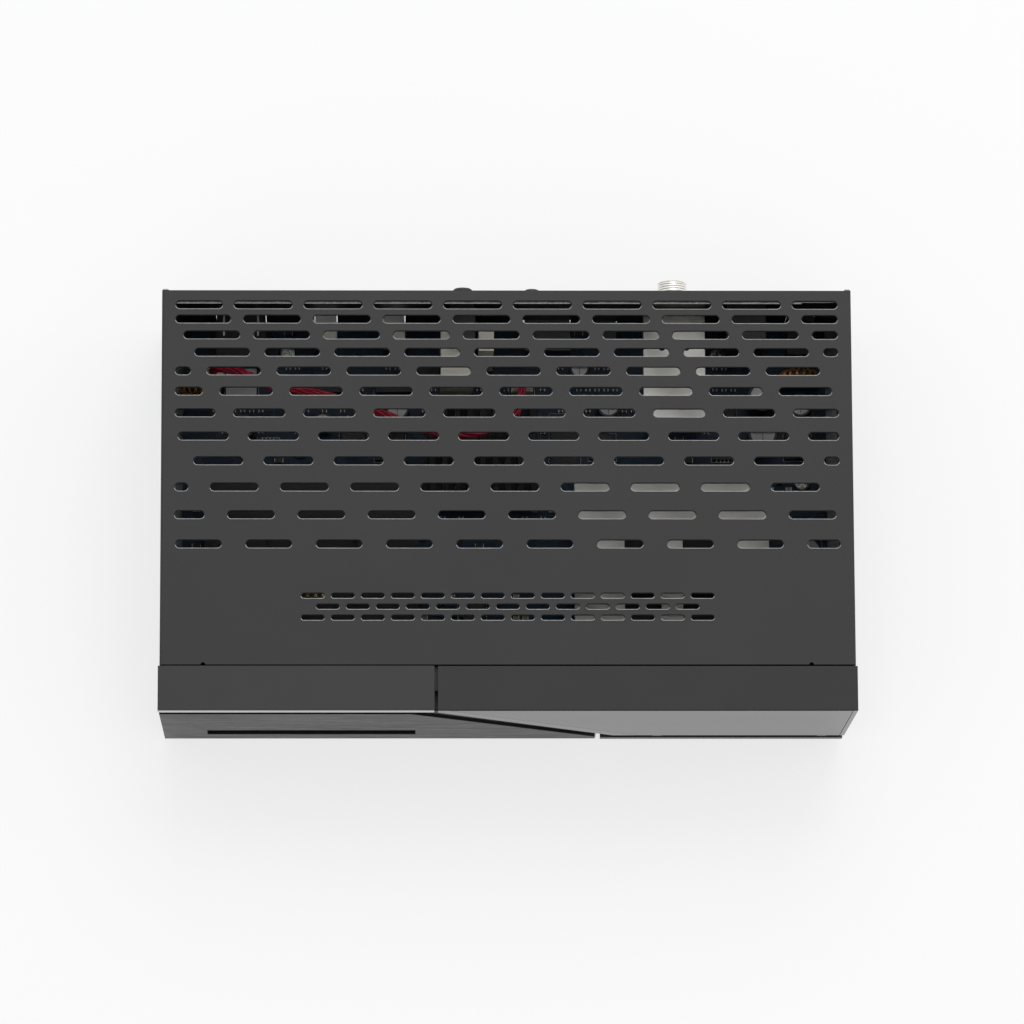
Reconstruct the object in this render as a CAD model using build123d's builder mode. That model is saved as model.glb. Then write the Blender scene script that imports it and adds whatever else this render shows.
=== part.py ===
"""Small set-top satellite receiver: sheet-metal case, plastic front with a flap door,
card reader, module bay, tuner and rear sockets.

Millimetres. X is to the right seen from the front, Y runs to the back, Z is up.
The origin is the middle of the whole object's footprint, on the surface it stands on.
"""
import os
from math import radians, tan

from build123d import *

# ---------------------------------------------------------------- driving sizes
# Case
bezel_width = 225.0
body_height = 50.0
foot_height = 3.0
bezel_depth = 14.7
seam_gap = 0.4
cover_inset = 0.5
cover_depth = 123.9
sheet = 0.8
cover_bend = 0.8
thread_reach = 9.0
sheet_fit = 0.15

# Vent field of the cover
vent_rows = 12
vent_pitch = 22.68
vent_width = 2.55
vent_rear_length = 18.9
vent_shrink = 0.375
vent_rear_margin = 4.8
vent_first_step = 4.8
vent_step_growth = 0.485
vent_first_x = 11.58
vent_drift = 0.597
vent_side_margin = 4.5
vent_shortest = 3.6
vent_edge_break = 0.22
fine_rows = 3
fine_columns = 14
fine_length = 7.4
fine_pitch = 9.66
fine_width = 1.6
fine_row_step = 3.6
fine_field_y = 34.1

# Front mouldings
wall = 2.0
skin = 1.0
left_rake = 0.7
right_rake = 2.0
top_gap = 1.15
top_gap_x = -23.1
door_step = 3.5
door_foot_gap = 6.3
door_low_x = 34.9
groove = 1.3
lip_height = 2.8
plate_top_drop = 6.7
plate_corner_back = 8.4
guide_width = 1.15
guide_back = 4.8
part_gap = 0.3
edge_gap = 0.1
edge_break = 0.25

# Flap door hinge
hinge_y = 1.6
hinge_drop = 1.4
knuckle_radius = 1.5
lug_radius = 1.3
pin_radius = 0.75
pin_clearance = 0.05
knuckle_width = 3.0
hinge_insets = (64.5, 10.5)

# Card slot and module bay
card_inset = 49.0
card_rise = 3.0
card_width = 54.6
card_thickness = 1.6
card_slot_margin = 6.6
card_slot_height = 7.0
module_inset = 58.3
module_rise = 9.8
module_width = 54.6
module_height = 5.6

# Boards
board_side_gap = 5.05
board_front_gap = 5.6
board_rear_gap = 1.2
board_thickness = 1.6
standoff_height = 6.0
screw_radius = 1.5

# ---------------------------------------------------------------- derived places
body_depth = bezel_depth + seam_gap + cover_depth
front_y = -(body_depth + thread_reach) / 2
rear_y = front_y + body_depth
floor_z = foot_height
top_z = foot_height + body_height
seam_y = front_y + bezel_depth
cover_front_y = seam_y + seam_gap
cover_width = bezel_width - 2 * cover_inset
vent_window = cover_width - 2 * vent_side_margin
tray_half = cover_width / 2 - sheet - sheet_fit
tray_top_z = floor_z + sheet
panel_y = rear_y - part_gap
panel_inner_y = panel_y - sheet
board_z = tray_top_z + standoff_height
board_top_z = board_z + board_thickness
board_width = 2 * (tray_half - board_side_gap)
board_rear_y = panel_inner_y - board_rear_gap
board_front_y = cover_front_y + board_front_gap
fascia_y = seam_y - wall
door_left_x = top_gap_x + top_gap / 2
door_bottom = floor_z + door_foot_gap
door_slope = (top_z - door_step - door_bottom) / (door_low_x - door_left_x)
lip_top_z = floor_z + lip_height
plate_corner_x = top_gap_x - plate_corner_back
guide_x = door_low_x - guide_back
hinge_z = door_bottom - hinge_drop
hinge_x = [bezel_width / 2 - inset for inset in hinge_insets]
card_slot_x = card_inset - bezel_width / 2
card_slot_z = board_top_z + card_rise
card_slot_width = card_width + 2 * card_slot_margin
module_x = bezel_width / 2 - module_inset
module_z = board_top_z + module_rise


def left_x(z):
    """Left end of the front moulding at a height: it rakes in towards the bottom."""
    return -bezel_width / 2 + left_rake * (top_z - z) / body_height


def right_x(z):
    """Right end of the front moulding at a height."""
    return bezel_width / 2 - right_rake * (top_z - z) / body_height


def door_edge_x(z, inset=0.0):
    """Slanting edge of the door at a height, moved square to itself by inset."""
    slant = (1 + door_slope**2) ** 0.5 / door_slope
    return door_left_x + (top_z - door_step - z) / door_slope + inset * slant


def facing(y):
    """Plane seen from the front at depth y. Extrusions on it grow towards the front."""
    return Plane.XZ.offset(-y)


def block(x, y, z, mode=Mode.ADD):
    """Plain block between two limits on each axis, in the part being built."""
    with Locations(((x[0] + x[1]) / 2, (y[0] + y[1]) / 2, (z[0] + z[1]) / 2)):
        Box(x[1] - x[0], y[1] - y[0], z[1] - z[0], mode=mode)


def span(centre, width):
    """Limits of a width about its centre."""
    return (centre - width / 2, centre + width / 2)


def rod(centre, radius, length, axis, mode=Mode.ADD):
    """Cylinder that starts at centre and runs along +X, +Y or +Z."""
    turn = {"x": (0, 90, 0), "y": (-90, 0, 0), "z": (0, 0, 0)}[axis]
    with Locations(Location(centre, turn)):
        Cylinder(radius, length, align=(Align.CENTER, Align.CENTER, Align.MIN), mode=mode)


def board_x(share):
    """Place across the main board, as a share of its half width from the middle."""
    return share * board_width / 2


def board_y(share):
    """Place along the main board, as a share of its depth from the front edge."""
    return board_front_y + share * (board_rear_y - board_front_y)


os.makedirs("parts", exist_ok=True)


def write(builder, name):
    """Label a finished piece and write its file."""
    builder.part.label = name
    export_step(builder.part, f"parts/{name}.step")


# ---------------------------------------------------------------- top cover
def vent_slots():
    """Centre x, y and length of every slot: staggered rows that close up to the rear."""
    slots = []
    y = rear_y - vent_rear_margin
    first_y = y
    for row in range(vent_rows):
        length = vent_rear_length - vent_shrink * row
        start = vent_first_x + vent_drift * (first_y - y)
        columns = int(vent_window / vent_pitch)
        for column in range(-columns, columns):
            centre = start + column * vent_pitch
            low = max(centre - length / 2, -vent_window / 2)
            high = min(centre + length / 2, vent_window / 2)
            if high - low > vent_shortest:
                slots.append(((low + high) / 2, y, high - low))
        y -= vent_first_step + vent_step_growth * row
    return slots


def fine_slots():
    """Centres of the small slots near the front, in bricked rows."""
    places = []
    for row in range(fine_rows):
        y = front_y + fine_field_y + (row - (fine_rows - 1) / 2) * fine_row_step
        columns = fine_columns - row % 2
        for column in range(columns):
            places.append(((column - (columns - 1) / 2) * fine_pitch, y))
    return places


flange_drop = 5.0
flange_left_inset = 14.0
flange_right_inset = 14.3
relief_radius = 0.75
side_screw_inset = 20.9
side_screw_rise = 4.6
side_head_radius = 2.6
side_shank = 5.0
cover_rise = 0.6
ear_size = 2.2
ear_reach = 0.6
ear_height = 12.0
ear_break = 0.45
rear_screw_x = 8.2
rear_screw_drop = 4.0
flange_left_x = flange_left_inset - cover_width / 2
flange_right_x = cover_width / 2 - flange_right_inset
side_screw_y = (cover_front_y + side_screw_inset, rear_y - side_screw_inset)
side_screw_z = floor_z + side_screw_rise
cover_low_z = floor_z + cover_rise
rear_screw_z = top_z - rear_screw_drop

with BuildPart() as top_cover:
    with BuildSketch(facing(rear_y)) as cover_profile:
        with Locations((0, (cover_low_z + top_z) / 2)):
            Rectangle(cover_width, top_z - cover_low_z)
        fillet(cover_profile.vertices().group_by(Axis.Y)[-1], cover_bend)
        with Locations((0, (cover_low_z + top_z - sheet) / 2)):
            Rectangle(cover_width - 2 * sheet, top_z - sheet - cover_low_z, mode=Mode.SUBTRACT)
    extrude(amount=cover_depth)
    with BuildSketch(facing(rear_y + ear_reach)) as ear_profile:
        with Locations((0, top_z - ear_height / 2)):
            Rectangle(cover_width, ear_height)
        fillet(ear_profile.vertices().group_by(Axis.Y)[-1], cover_bend)
        with Locations((0, top_z - ear_height / 2)):
            Rectangle(cover_width - 2 * ear_size, ear_height, mode=Mode.SUBTRACT)
    extrude(amount=ear_reach)
    chamfer(top_cover.edges().filter_by(Axis.Z).group_by(Axis.Y)[-1], ear_break)
    block(
        (flange_left_x + relief_radius, flange_right_x - relief_radius),
        (cover_front_y, cover_front_y + sheet),
        (top_z - flange_drop, top_z - sheet),
    )
    with BuildSketch(Plane.XY.offset(top_z)):
        for x, y, length in vent_slots():
            with Locations((x, y)):
                SlotOverall(length, vent_width)
        with Locations(*fine_slots()):
            SlotOverall(fine_length, fine_width)
    extrude(amount=-sheet, mode=Mode.SUBTRACT)
    slot_rims = [wire.edges() for wire in top_cover.faces().sort_by(Axis.Z)[-1].inner_wires()]
    chamfer([edge for rim in slot_rims for edge in rim], vent_edge_break)
    for relief_x in (flange_left_x, flange_right_x):
        rod((relief_x, cover_front_y, top_z - sheet), relief_radius, sheet, "z", Mode.SUBTRACT)
    for y in side_screw_y:
        rod((-cover_width / 2, y, side_screw_z), side_head_radius, cover_width, "x", Mode.SUBTRACT)
write(top_cover, "top_cover")

# ---------------------------------------------------------------- chassis tray
lip_rise = 8.5
foot_radius = 6.0
stud_radius = 1.6
stud_length = 1.9
foot_round = 0.6
foot_side_inset = 19.0
foot_front_inset = 6.9
foot_rear_inset = 14.7
foot_x = tray_half - foot_side_inset
foot_front_y = cover_front_y + foot_front_inset
foot_rear_y = panel_y - foot_rear_inset
floor_vent_rows = 4
floor_vent_columns = 6
foot_places = [(x, y) for x in (-foot_x, foot_x) for y in (foot_front_y, foot_rear_y)]
corner_inset = 2.5
corner_setback = 9.3
corner_y = board_front_y + corner_setback
standoff_shares = [
    (-0.6377, 0.64), (0.1717, 0.81), (0.6623, 0.915), (-0.677, 0.925), (0.9242, 0.545), (0.0589, 0.115)]
standoff_places = [
    (corner_inset - board_width / 2, corner_y),
    (board_width / 2 - corner_inset, corner_y),
    *[(board_x(across), board_y(along)) for across, along in standoff_shares],
]

with BuildPart() as chassis_tray:
    block((-tray_half, tray_half), (cover_front_y, panel_inner_y), (floor_z, tray_top_z))
    for side in (-1, 1):
        edges = sorted((side * tray_half, side * (tray_half - sheet)))
        block(edges, (cover_front_y, panel_inner_y), (tray_top_z, floor_z + lip_rise))
    with Locations(*[(x, y, floor_z) for x, y in foot_places]):
        Hole(stud_radius)
    with Locations(*[(x, y, floor_z) for x, y in standoff_places]):
        Hole(screw_radius)
    for y in side_screw_y:
        rod((-tray_half, y, side_screw_z), screw_radius, 2 * tray_half, "x", Mode.SUBTRACT)
    with BuildSketch(Plane.XY.offset(tray_top_z)):
        with GridLocations(vent_pitch, 2 * vent_width, floor_vent_columns, floor_vent_rows):
            SlotOverall(vent_rear_length, vent_width)
    extrude(amount=-sheet, mode=Mode.SUBTRACT)
write(chassis_tray, "chassis_tray")

with BuildPart() as rubber_feet:
    for x, y in foot_places:
        rod((x, y, 0), foot_radius, foot_height, "z")
        rod((x, y, foot_height), stud_radius - pin_clearance, stud_length, "z")
    fillet(rubber_feet.edges().filter_by(GeomType.CIRCLE).group_by(Axis.Z)[0], foot_round)
write(rubber_feet, "rubber_feet")

with BuildPart() as side_screws:
    for side in (-1, 1):
        for y in side_screw_y:
            head_x = side * (cover_width / 2 - sheet)
            start = min(head_x, side * cover_width / 2)
            rod((start, y, side_screw_z), side_head_radius - pin_clearance, sheet, "x")
            start = min(head_x, head_x - side * side_shank)
            rod((start, y, side_screw_z), screw_radius - pin_clearance, side_shank, "x")
write(side_screws, "side_screws")

# ---------------------------------------------------------------- rear sockets: sizes and places
lan_x = board_x(-0.8198)
lan_width = 16.0
lan_height = 13.4
lan_depth = 16.0
usb_x = (board_x(-0.5566), board_x(-0.3453))
usb_width = 7.0
usb_height = 14.5
usb_depth = 13.5
jack_x = board_x(-0.1339)
jack_rise = 28.1
jack_z = board_top_z + jack_rise
collar_radius = 3.2
collar_reach = 4.0
hdmi_x = board_x(0.1321)
hdmi_width = 15.0
hdmi_height = 5.9
hdmi_depth = 11.5
service_x = board_x(0.3113)
service_width = 7.7
service_height = 4.1
service_depth = 9.0
tuner_x = board_x(0.5208)
tuner_width = 19.6
tuner_height = 21.6
tuner_depth = 36.0
antenna_offset = -0.3
antenna_rise = 15.6
antenna_x = tuner_x + antenna_offset
antenna_z = board_top_z + antenna_rise
barrel_radius = 4.76
shoulder_step = 0.2
shoulder_radius = barrel_radius + shoulder_step
switch_x = board_x(0.7406)
switch_rise = 20.6
switch_z = board_top_z + switch_rise
switch_width = 12.6
switch_height = 19.0
switch_depth = 13.0
inlet_x = board_x(0.9198)
inlet_width = 9.0
inlet_height = 11.0
inlet_depth = 14.0
socket_gap = 0.25
socket_proud = 0.5
mouth_y = panel_y + socket_proud

# ---------------------------------------------------------------- rear panel
panel_flange = 3.8
panel_top_z = top_z - sheet
return_depth = 7.0
corner_notch = 1.5
rear_head_radius = 2.5
rear_head_height = 1.4
rear_shank = 5.0
head_round = 0.6

with BuildPart() as rear_panel:
    block((-tray_half, tray_half), (panel_inner_y, panel_y), (floor_z, panel_top_z))
    block(
        (-tray_half + corner_notch, tray_half - corner_notch),
        (rear_y - panel_flange, panel_inner_y),
        (panel_top_z - sheet, panel_top_z),
    )
    for side in (-1, 1):
        edges = sorted((side * tray_half, side * (tray_half - sheet)))
        block(edges, (panel_inner_y - return_depth, panel_inner_y),
              (floor_z + lip_rise, panel_top_z - corner_notch))
    sockets = [
        (lan_x, board_top_z + lan_height / 2, lan_width, lan_height),
        (usb_x[0], board_top_z + usb_height / 2, usb_width, usb_height),
        (usb_x[1], board_top_z + usb_height / 2, usb_width, usb_height),
        (hdmi_x, board_top_z + hdmi_height / 2, hdmi_width, hdmi_height),
        (service_x, board_top_z + service_height / 2, service_width, service_height),
        (inlet_x, board_top_z + inlet_height / 2, inlet_width, inlet_height),
        (switch_x, switch_z, switch_width, switch_height),
    ]
    for x, z, width, height in sockets:
        cut = 2 * socket_gap
        block(span(x, width + cut), (panel_inner_y, panel_y), span(z, height + cut), Mode.SUBTRACT)
    rod((jack_x, panel_inner_y, jack_z), collar_radius + socket_gap, sheet, "y", Mode.SUBTRACT)
    rod((antenna_x, panel_inner_y, antenna_z), shoulder_radius + socket_gap, sheet, "y", Mode.SUBTRACT)
    rod((rear_screw_x, panel_inner_y, rear_screw_z), screw_radius, sheet, "y", Mode.SUBTRACT)
write(rear_panel, "rear_panel")

with BuildPart() as rear_screw:
    rod((rear_screw_x, panel_y, rear_screw_z), rear_head_radius, rear_head_height, "y")
    fillet(rear_screw.edges().filter_by(GeomType.CIRCLE).group_by(Axis.Y)[-1], head_round)
    rod((rear_screw_x, panel_y - rear_shank, rear_screw_z), screw_radius - pin_clearance, rear_shank, "y")
write(rear_screw, "rear_screw")

# ---------------------------------------------------------------- front frame
shelf_drop = 2.4
shelf_setback = 7.0
shelf_z = top_z - shelf_drop
shelf_front_y = front_y + shelf_setback
frame_left = wall + part_gap
frame_right_x = right_x(floor_z) - wall - part_gap
plate_y = front_y + edge_gap
plate_back_y = plate_y + skin
plate_top_z = top_z - plate_top_drop
button_inset = 16.5
button_rise = 19.6
button_x = bezel_width / 2 - button_inset
button_z = board_top_z + button_rise
button_radius = 3.7
button_travel = 0.8
magnet_inset = 9.5
magnet_drop = 8.0
magnet_x = bezel_width / 2 - magnet_inset
magnet_z = top_z - magnet_drop
magnet_radius = 2.5
magnet_depth = 2.0
magnet_wall = 1.2
strike_depth = 0.6
strike_gap = 0.5
door_front_wall = 2.8
magnet_face_y = front_y + door_front_wall + strike_depth + strike_gap
nose_side_gap = 0.9
nose_setback = 5.6
slot_clearance = 2.0
nose_width = card_slot_width - 2 * nose_side_gap
nose_height = card_slot_height - 2 * part_gap
nose_front_y = front_y + nose_setback
guide_drop = 0.6
guide_left_x = guide_x - guide_width / 2
guide_top_left_z = top_z - door_step - door_slope * (guide_left_x - door_left_x) - guide_drop
guide_top_right_z = guide_top_left_z - door_slope * guide_width
stem_drop = 0.2
stem_height = 2.2
stem_z = (board_z - stem_drop - stem_height, board_z - stem_drop)
hinge_centre = (front_y + hinge_y, hinge_z)

fascia_top_z = shelf_z - wall
fascia_low_z = floor_z + wall
guide_hole = span(guide_x, guide_width + 2 * socket_gap)
stem_hole = (stem_z[0] - socket_gap, stem_z[1] + socket_gap)

with BuildPart() as fascia:
    with BuildSketch(facing(seam_y)):
        with BuildLine():
            Polyline(
                (left_x(fascia_top_z) + frame_left + wall, fascia_top_z),
                (frame_right_x, fascia_top_z),
                (frame_right_x, fascia_low_z),
                (left_x(fascia_low_z) + frame_left + wall, fascia_low_z),
                close=True,
            )
        make_face()
    extrude(amount=wall)
    rod((magnet_x, magnet_face_y + socket_gap, magnet_z), magnet_radius + magnet_wall,
        fascia_y - magnet_face_y, "y")
    rod((magnet_x, magnet_face_y, magnet_z), magnet_radius + pin_clearance, magnet_depth, "y", Mode.SUBTRACT)
    rod((button_x, fascia_y, button_z), button_radius + part_gap, wall, "y", Mode.SUBTRACT)
    block(span(card_slot_x, nose_width + 2 * part_gap), (fascia_y, seam_y),
          span(card_slot_z, nose_height + 2 * part_gap), Mode.SUBTRACT)
    block(span(module_x, module_width + 2 * part_gap), (fascia_y, seam_y),
          span(module_z, module_height + 2 * part_gap), Mode.SUBTRACT)
    block(guide_hole, (fascia_y, seam_y), stem_hole, Mode.SUBTRACT)
write(fascia, "fascia")

with BuildPart() as front_frame:
    block((left_x(shelf_z) + frame_left, frame_right_x), (shelf_front_y, seam_y),
          (shelf_z - wall, shelf_z))
    block((left_x(floor_z) + frame_left, frame_right_x), (plate_back_y, seam_y),
          (floor_z, floor_z + wall))
    with BuildSketch(facing(plate_back_y + wall)):
        with BuildLine():
            Polyline(
                (left_x(floor_z) + frame_left, floor_z),
                (left_x(plate_top_z) + frame_left, plate_top_z),
                (door_edge_x(plate_top_z, -groove), plate_top_z),
                (door_edge_x(lip_top_z, -groove), lip_top_z),
                (door_edge_x(lip_top_z, -groove), floor_z),
                close=True,
            )
        make_face()
    extrude(amount=wall)
    block(
        (left_x(shelf_z) + frame_left, door_left_x - top_gap),
        (plate_back_y + wall, plate_back_y + 2 * wall),
        (plate_top_z - wall, shelf_z),
    )
    with BuildSketch(facing(fascia_y)):
        with BuildLine():
            Polyline(
                (door_edge_x(plate_top_z, -groove), plate_top_z),
                (door_edge_x(lip_top_z, -groove), lip_top_z),
                (door_edge_x(lip_top_z, -groove - wall), lip_top_z),
                (door_edge_x(plate_top_z, -groove - wall), plate_top_z),
                close=True,
            )
        make_face()
    extrude(amount=fascia_y - plate_back_y)
    block((guide_hole[1], right_x(floor_z) - edge_gap), (front_y, plate_back_y + wall), (floor_z, lip_top_z))
    with BuildSketch(facing(seam_y)):
        with BuildLine():
            Polyline(
                (left_x(floor_z) + frame_left, floor_z),
                (left_x(shelf_z) + frame_left, shelf_z),
                (left_x(shelf_z) + frame_left + wall, shelf_z),
                (left_x(floor_z) + frame_left + wall, floor_z),
                close=True,
            )
        make_face()
    extrude(amount=seam_y - plate_back_y - wall)
    for x in hinge_x:
        lug_x = (x + knuckle_width + part_gap, x + 2 * knuckle_width + part_gap)
        rod((lug_x[0], *hinge_centre), lug_radius, knuckle_width, "x")
        block(lug_x, (hinge_centre[0], hinge_centre[0] + lug_radius), (floor_z + wall / 2, hinge_z))
        rod((lug_x[0], *hinge_centre), pin_radius + pin_clearance, knuckle_width, "x", Mode.SUBTRACT)
    block(span(card_slot_x, card_slot_width + 2 * slot_clearance), (plate_back_y, plate_back_y + 2 * wall),
          span(card_slot_z, card_slot_height + 2 * slot_clearance), Mode.SUBTRACT)
    block(guide_hole, (front_y, plate_back_y + wall), (floor_z, guide_top_left_z + socket_gap),
          Mode.SUBTRACT)
    block(guide_hole, (front_y, fascia_y), stem_hole, Mode.SUBTRACT)
write(front_frame, "front_frame")

# ---------------------------------------------------------------- left cap, trim and plate
trim_depth = 0.2
trim_break = 0.08
plate_break = 0.1

with BuildPart() as left_cap:
    with BuildSketch(facing(seam_y)):
        with BuildLine():
            Polyline(
                (left_x(top_z), top_z),
                (top_gap_x - top_gap / 2, top_z),
                (top_gap_x - top_gap / 2, top_z - wall),
                (left_x(top_z - wall) + wall, top_z - wall),
                (left_x(floor_z) + wall, floor_z),
                (left_x(floor_z), floor_z),
                close=True,
            )
        make_face()
    extrude(amount=seam_y - plate_back_y)
    block(
        (left_x(top_z), top_gap_x - top_gap / 2),
        (front_y + trim_depth, plate_back_y + wall / 2),
        (top_z - door_step + part_gap, top_z),
    )
    chamfer(left_cap.edges().filter_by(Axis.X).group_by(Axis.Z)[-1].sort_by(Axis.Y)[0], edge_break)
write(left_cap, "left_cap")

with BuildPart() as edge_trim:
    block(
        (left_x(top_z) + edge_gap, top_gap_x - top_gap / 2 - edge_gap),
        (front_y, front_y + trim_depth),
        (top_z - door_step + part_gap, top_z - edge_break),
    )
    chamfer(edge_trim.edges().filter_by(Axis.X).group_by(Axis.Y)[0], trim_break)
write(edge_trim, "edge_trim")

plate_rise = 0.1
plate_slope_rise = 3.4
plate_low_z = floor_z + plate_rise
plate_right_x = guide_left_x - socket_gap
plate_slope_low_z = floor_z + plate_slope_rise

with BuildPart() as brushed_plate:
    with BuildSketch(facing(plate_back_y)):
        with BuildLine():
            Polyline(
                (left_x(plate_low_z) + 2 * edge_gap, plate_low_z),
                (left_x(plate_top_z) + 2 * edge_gap, plate_top_z),
                (plate_corner_x, plate_top_z),
                (plate_right_x, plate_slope_low_z),
                (plate_right_x, plate_low_z),
                close=True,
            )
        make_face()
        with Locations((card_slot_x, card_slot_z)):
            Rectangle(card_slot_width, card_slot_height, mode=Mode.SUBTRACT)
    extrude(amount=skin)
    chamfer(brushed_plate.faces().sort_by(Axis.Y)[0].edges(), plate_break)
write(brushed_plate, "brushed_plate")

with BuildPart() as light_guide:
    with BuildSketch(facing(plate_back_y + wall)):
        with BuildLine():
            Polyline(
                (guide_left_x, floor_z + part_gap),
                (guide_left_x + guide_width, floor_z + part_gap),
                (guide_left_x + guide_width, guide_top_right_z),
                (guide_left_x, guide_top_left_z),
                close=True,
            )
        make_face()
    extrude(amount=plate_back_y + wall - front_y - edge_gap)
    block(span(guide_x, guide_width), (plate_back_y + wall, board_front_y - part_gap), stem_z)
write(light_guide, "light_guide")

# ---------------------------------------------------------------- flap door
panel_side_rim = 1.5
panel_slant_rim = 4.6
door_rear_y = seam_y - edge_gap
return_gap = 0.5
return_y = shelf_front_y - return_gap
panel_top_margin = 0.5
panel_top_edge_z = top_z - panel_top_margin
recess_top_z = panel_top_edge_z + edge_gap
notch_rise = 0.7

with BuildPart() as flap_door:
    with BuildSketch(facing(door_rear_y)):
        with BuildLine():
            Polyline(
                (door_left_x, top_z),
                (door_left_x, top_z - door_step),
                (door_edge_x(door_bottom), door_bottom),
                (right_x(door_bottom), door_bottom),
                (right_x(top_z), top_z),
                close=True,
            )
        make_face()
    extrude(amount=door_rear_y - front_y)
    with BuildSketch(facing(door_rear_y)):
        with BuildLine():
            Polyline(
                (door_left_x + wall, top_z - wall),
                (door_left_x + wall, top_z - door_step - wall * door_slope / 2),
                (door_edge_x(door_bottom - wall, wall), door_bottom - wall),
                (right_x(door_bottom - wall) - wall, door_bottom - wall),
                (right_x(top_z - wall) - wall, top_z - wall),
                close=True,
            )
        make_face()
    extrude(amount=door_rear_y - front_y - door_front_wall, mode=Mode.SUBTRACT)
    block(
        (door_left_x, module_x),
        (return_y, door_rear_y),
        (door_bottom, top_z - wall),
        Mode.SUBTRACT,
    )
    with BuildSketch(facing(front_y + skin)):
        with BuildLine():
            Polyline(
                (door_edge_x(recess_top_z, panel_slant_rim) - edge_gap, recess_top_z),
                (door_edge_x(door_bottom, panel_slant_rim) - edge_gap, door_bottom),
                (right_x(door_bottom) - panel_side_rim + edge_gap, door_bottom),
                (right_x(recess_top_z) - panel_side_rim + edge_gap, recess_top_z),
                close=True,
            )
        make_face()
    extrude(amount=skin, mode=Mode.SUBTRACT)
    for x in hinge_x:
        rod((x, *hinge_centre), knuckle_radius, knuckle_width, "x")
        block((x, x + knuckle_width), (front_y + skin + edge_gap, front_y + door_front_wall),
              (hinge_z, door_bottom))
        rod((x, *hinge_centre), pin_radius + pin_clearance / 2, knuckle_width, "x", Mode.SUBTRACT)
        notch_x = (x + knuckle_width, x + 2 * knuckle_width + 2 * part_gap)
        block(notch_x, (front_y + skin, front_y + door_front_wall), (door_bottom, door_bottom + notch_rise),
              Mode.SUBTRACT)
    chamfer(flap_door.edges().filter_by(Axis.X).group_by(Axis.Z)[-1].sort_by(Axis.Y)[0], edge_break)
write(flap_door, "flap_door")

with BuildPart() as door_panel:
    with BuildSketch(facing(front_y + skin)):
        with BuildLine():
            Polyline(
                (door_edge_x(panel_top_edge_z, panel_slant_rim), panel_top_edge_z),
                (door_edge_x(door_bottom, panel_slant_rim), door_bottom),
                (right_x(door_bottom) - panel_side_rim, door_bottom),
                (right_x(panel_top_edge_z) - panel_side_rim, panel_top_edge_z),
                close=True,
            )
        make_face()
    extrude(amount=skin)
    chamfer(door_panel.faces().sort_by(Axis.Y)[0].edges(), plate_break)
write(door_panel, "door_panel")

with BuildPart() as hinge_pins:
    for x in hinge_x:
        rod((x + edge_gap, *hinge_centre), pin_radius, 2 * (knuckle_width - edge_gap) + part_gap, "x")
write(hinge_pins, "hinge_pins")

with BuildPart() as door_magnet:
    rod((magnet_x, magnet_face_y, magnet_z), magnet_radius, magnet_depth, "y")
write(door_magnet, "door_magnet")

with BuildPart() as strike_plate:
    rod((magnet_x, front_y + door_front_wall, magnet_z), magnet_radius + strike_gap, strike_depth, "y")
write(strike_plate, "strike_plate")

# ---------------------------------------------------------------- standby button
button_proud = 1.8
button_round = 0.5
button_flange = 1.2
button_flange_depth = 1.0
flange_y = seam_y + part_gap

with BuildPart() as standby_button:
    rod((button_x, fascia_y - button_proud, button_z), button_radius, flange_y - fascia_y + button_proud, "y")
    fillet(standby_button.edges().filter_by(GeomType.CIRCLE).group_by(Axis.Y)[0], button_round)
    rod((button_x, flange_y, button_z), button_radius + button_flange, button_flange_depth, "y")
write(standby_button, "standby_button")

switch_front_y = flange_y + button_flange_depth + button_travel + edge_gap
switch_body = 6.0
switch_body_depth = 3.0
plunger_radius = 1.7
plunger_length = 1.0
front_board_y = switch_front_y + plunger_length + switch_body_depth
front_board_insets = (66.5, 4.5)
front_board_rise = 17.6
front_board_drop = 6.0
front_board_x = [bezel_width / 2 - inset for inset in front_board_insets]
front_board_z = (board_top_z + front_board_rise, top_z - front_board_drop)
sensor_inset = 14.0
sensor_rise = 9.0
sensor_x = front_board_x[0] + sensor_inset
sensor_z = front_board_z[0] + sensor_rise
sensor_width = 6.0
sensor_height = 7.0
sensor_depth = 3.6
lens_radius = 2.2
lens_length = 1.0
bracket_width = 6.0
bracket_inset = 4.0
bracket_rise = 7.0

with BuildPart() as button_switch:
    block(span(button_x, switch_body), (front_board_y - switch_body_depth, front_board_y),
          span(button_z, switch_body))
    rod((button_x, switch_front_y, button_z), plunger_radius, plunger_length, "y")
write(button_switch, "button_switch")

with BuildPart() as front_board:
    block(front_board_x, (front_board_y, front_board_y + board_thickness), front_board_z)
write(front_board, "front_board")

with BuildPart() as infrared_sensor:
    block(span(sensor_x, sensor_width), (front_board_y - sensor_depth, front_board_y),
          span(sensor_z, sensor_height))
    rod((sensor_x, front_board_y - sensor_depth - lens_length, sensor_z), lens_radius, lens_length, "y")
write(infrared_sensor, "infrared_sensor")

with BuildPart() as board_brackets:
    bracket_y = front_board_y + board_thickness
    for x in (front_board_x[0] + bracket_inset, front_board_x[1] - bracket_inset):
        block(span(x, bracket_width), (bracket_y, bracket_y + sheet),
              (front_board_z[0], front_board_z[0] + bracket_rise))
        block(span(x, bracket_width), (seam_y, bracket_y + sheet),
              (front_board_z[0] - sheet, front_board_z[0]))
write(board_brackets, "board_brackets")

# ---------------------------------------------------------------- main board and its fixings
with BuildPart() as mainboard:
    block((-board_width / 2, board_width / 2), (board_front_y, board_rear_y), (board_z, board_top_z))
    with Locations(*[(x, y, board_top_z) for x, y in standoff_places]):
        Hole(screw_radius)
write(mainboard, "mainboard")

hexagon_radius = 3.0
board_head_radius = 2.7
board_head_height = 1.8
board_shank = 3.0

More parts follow.
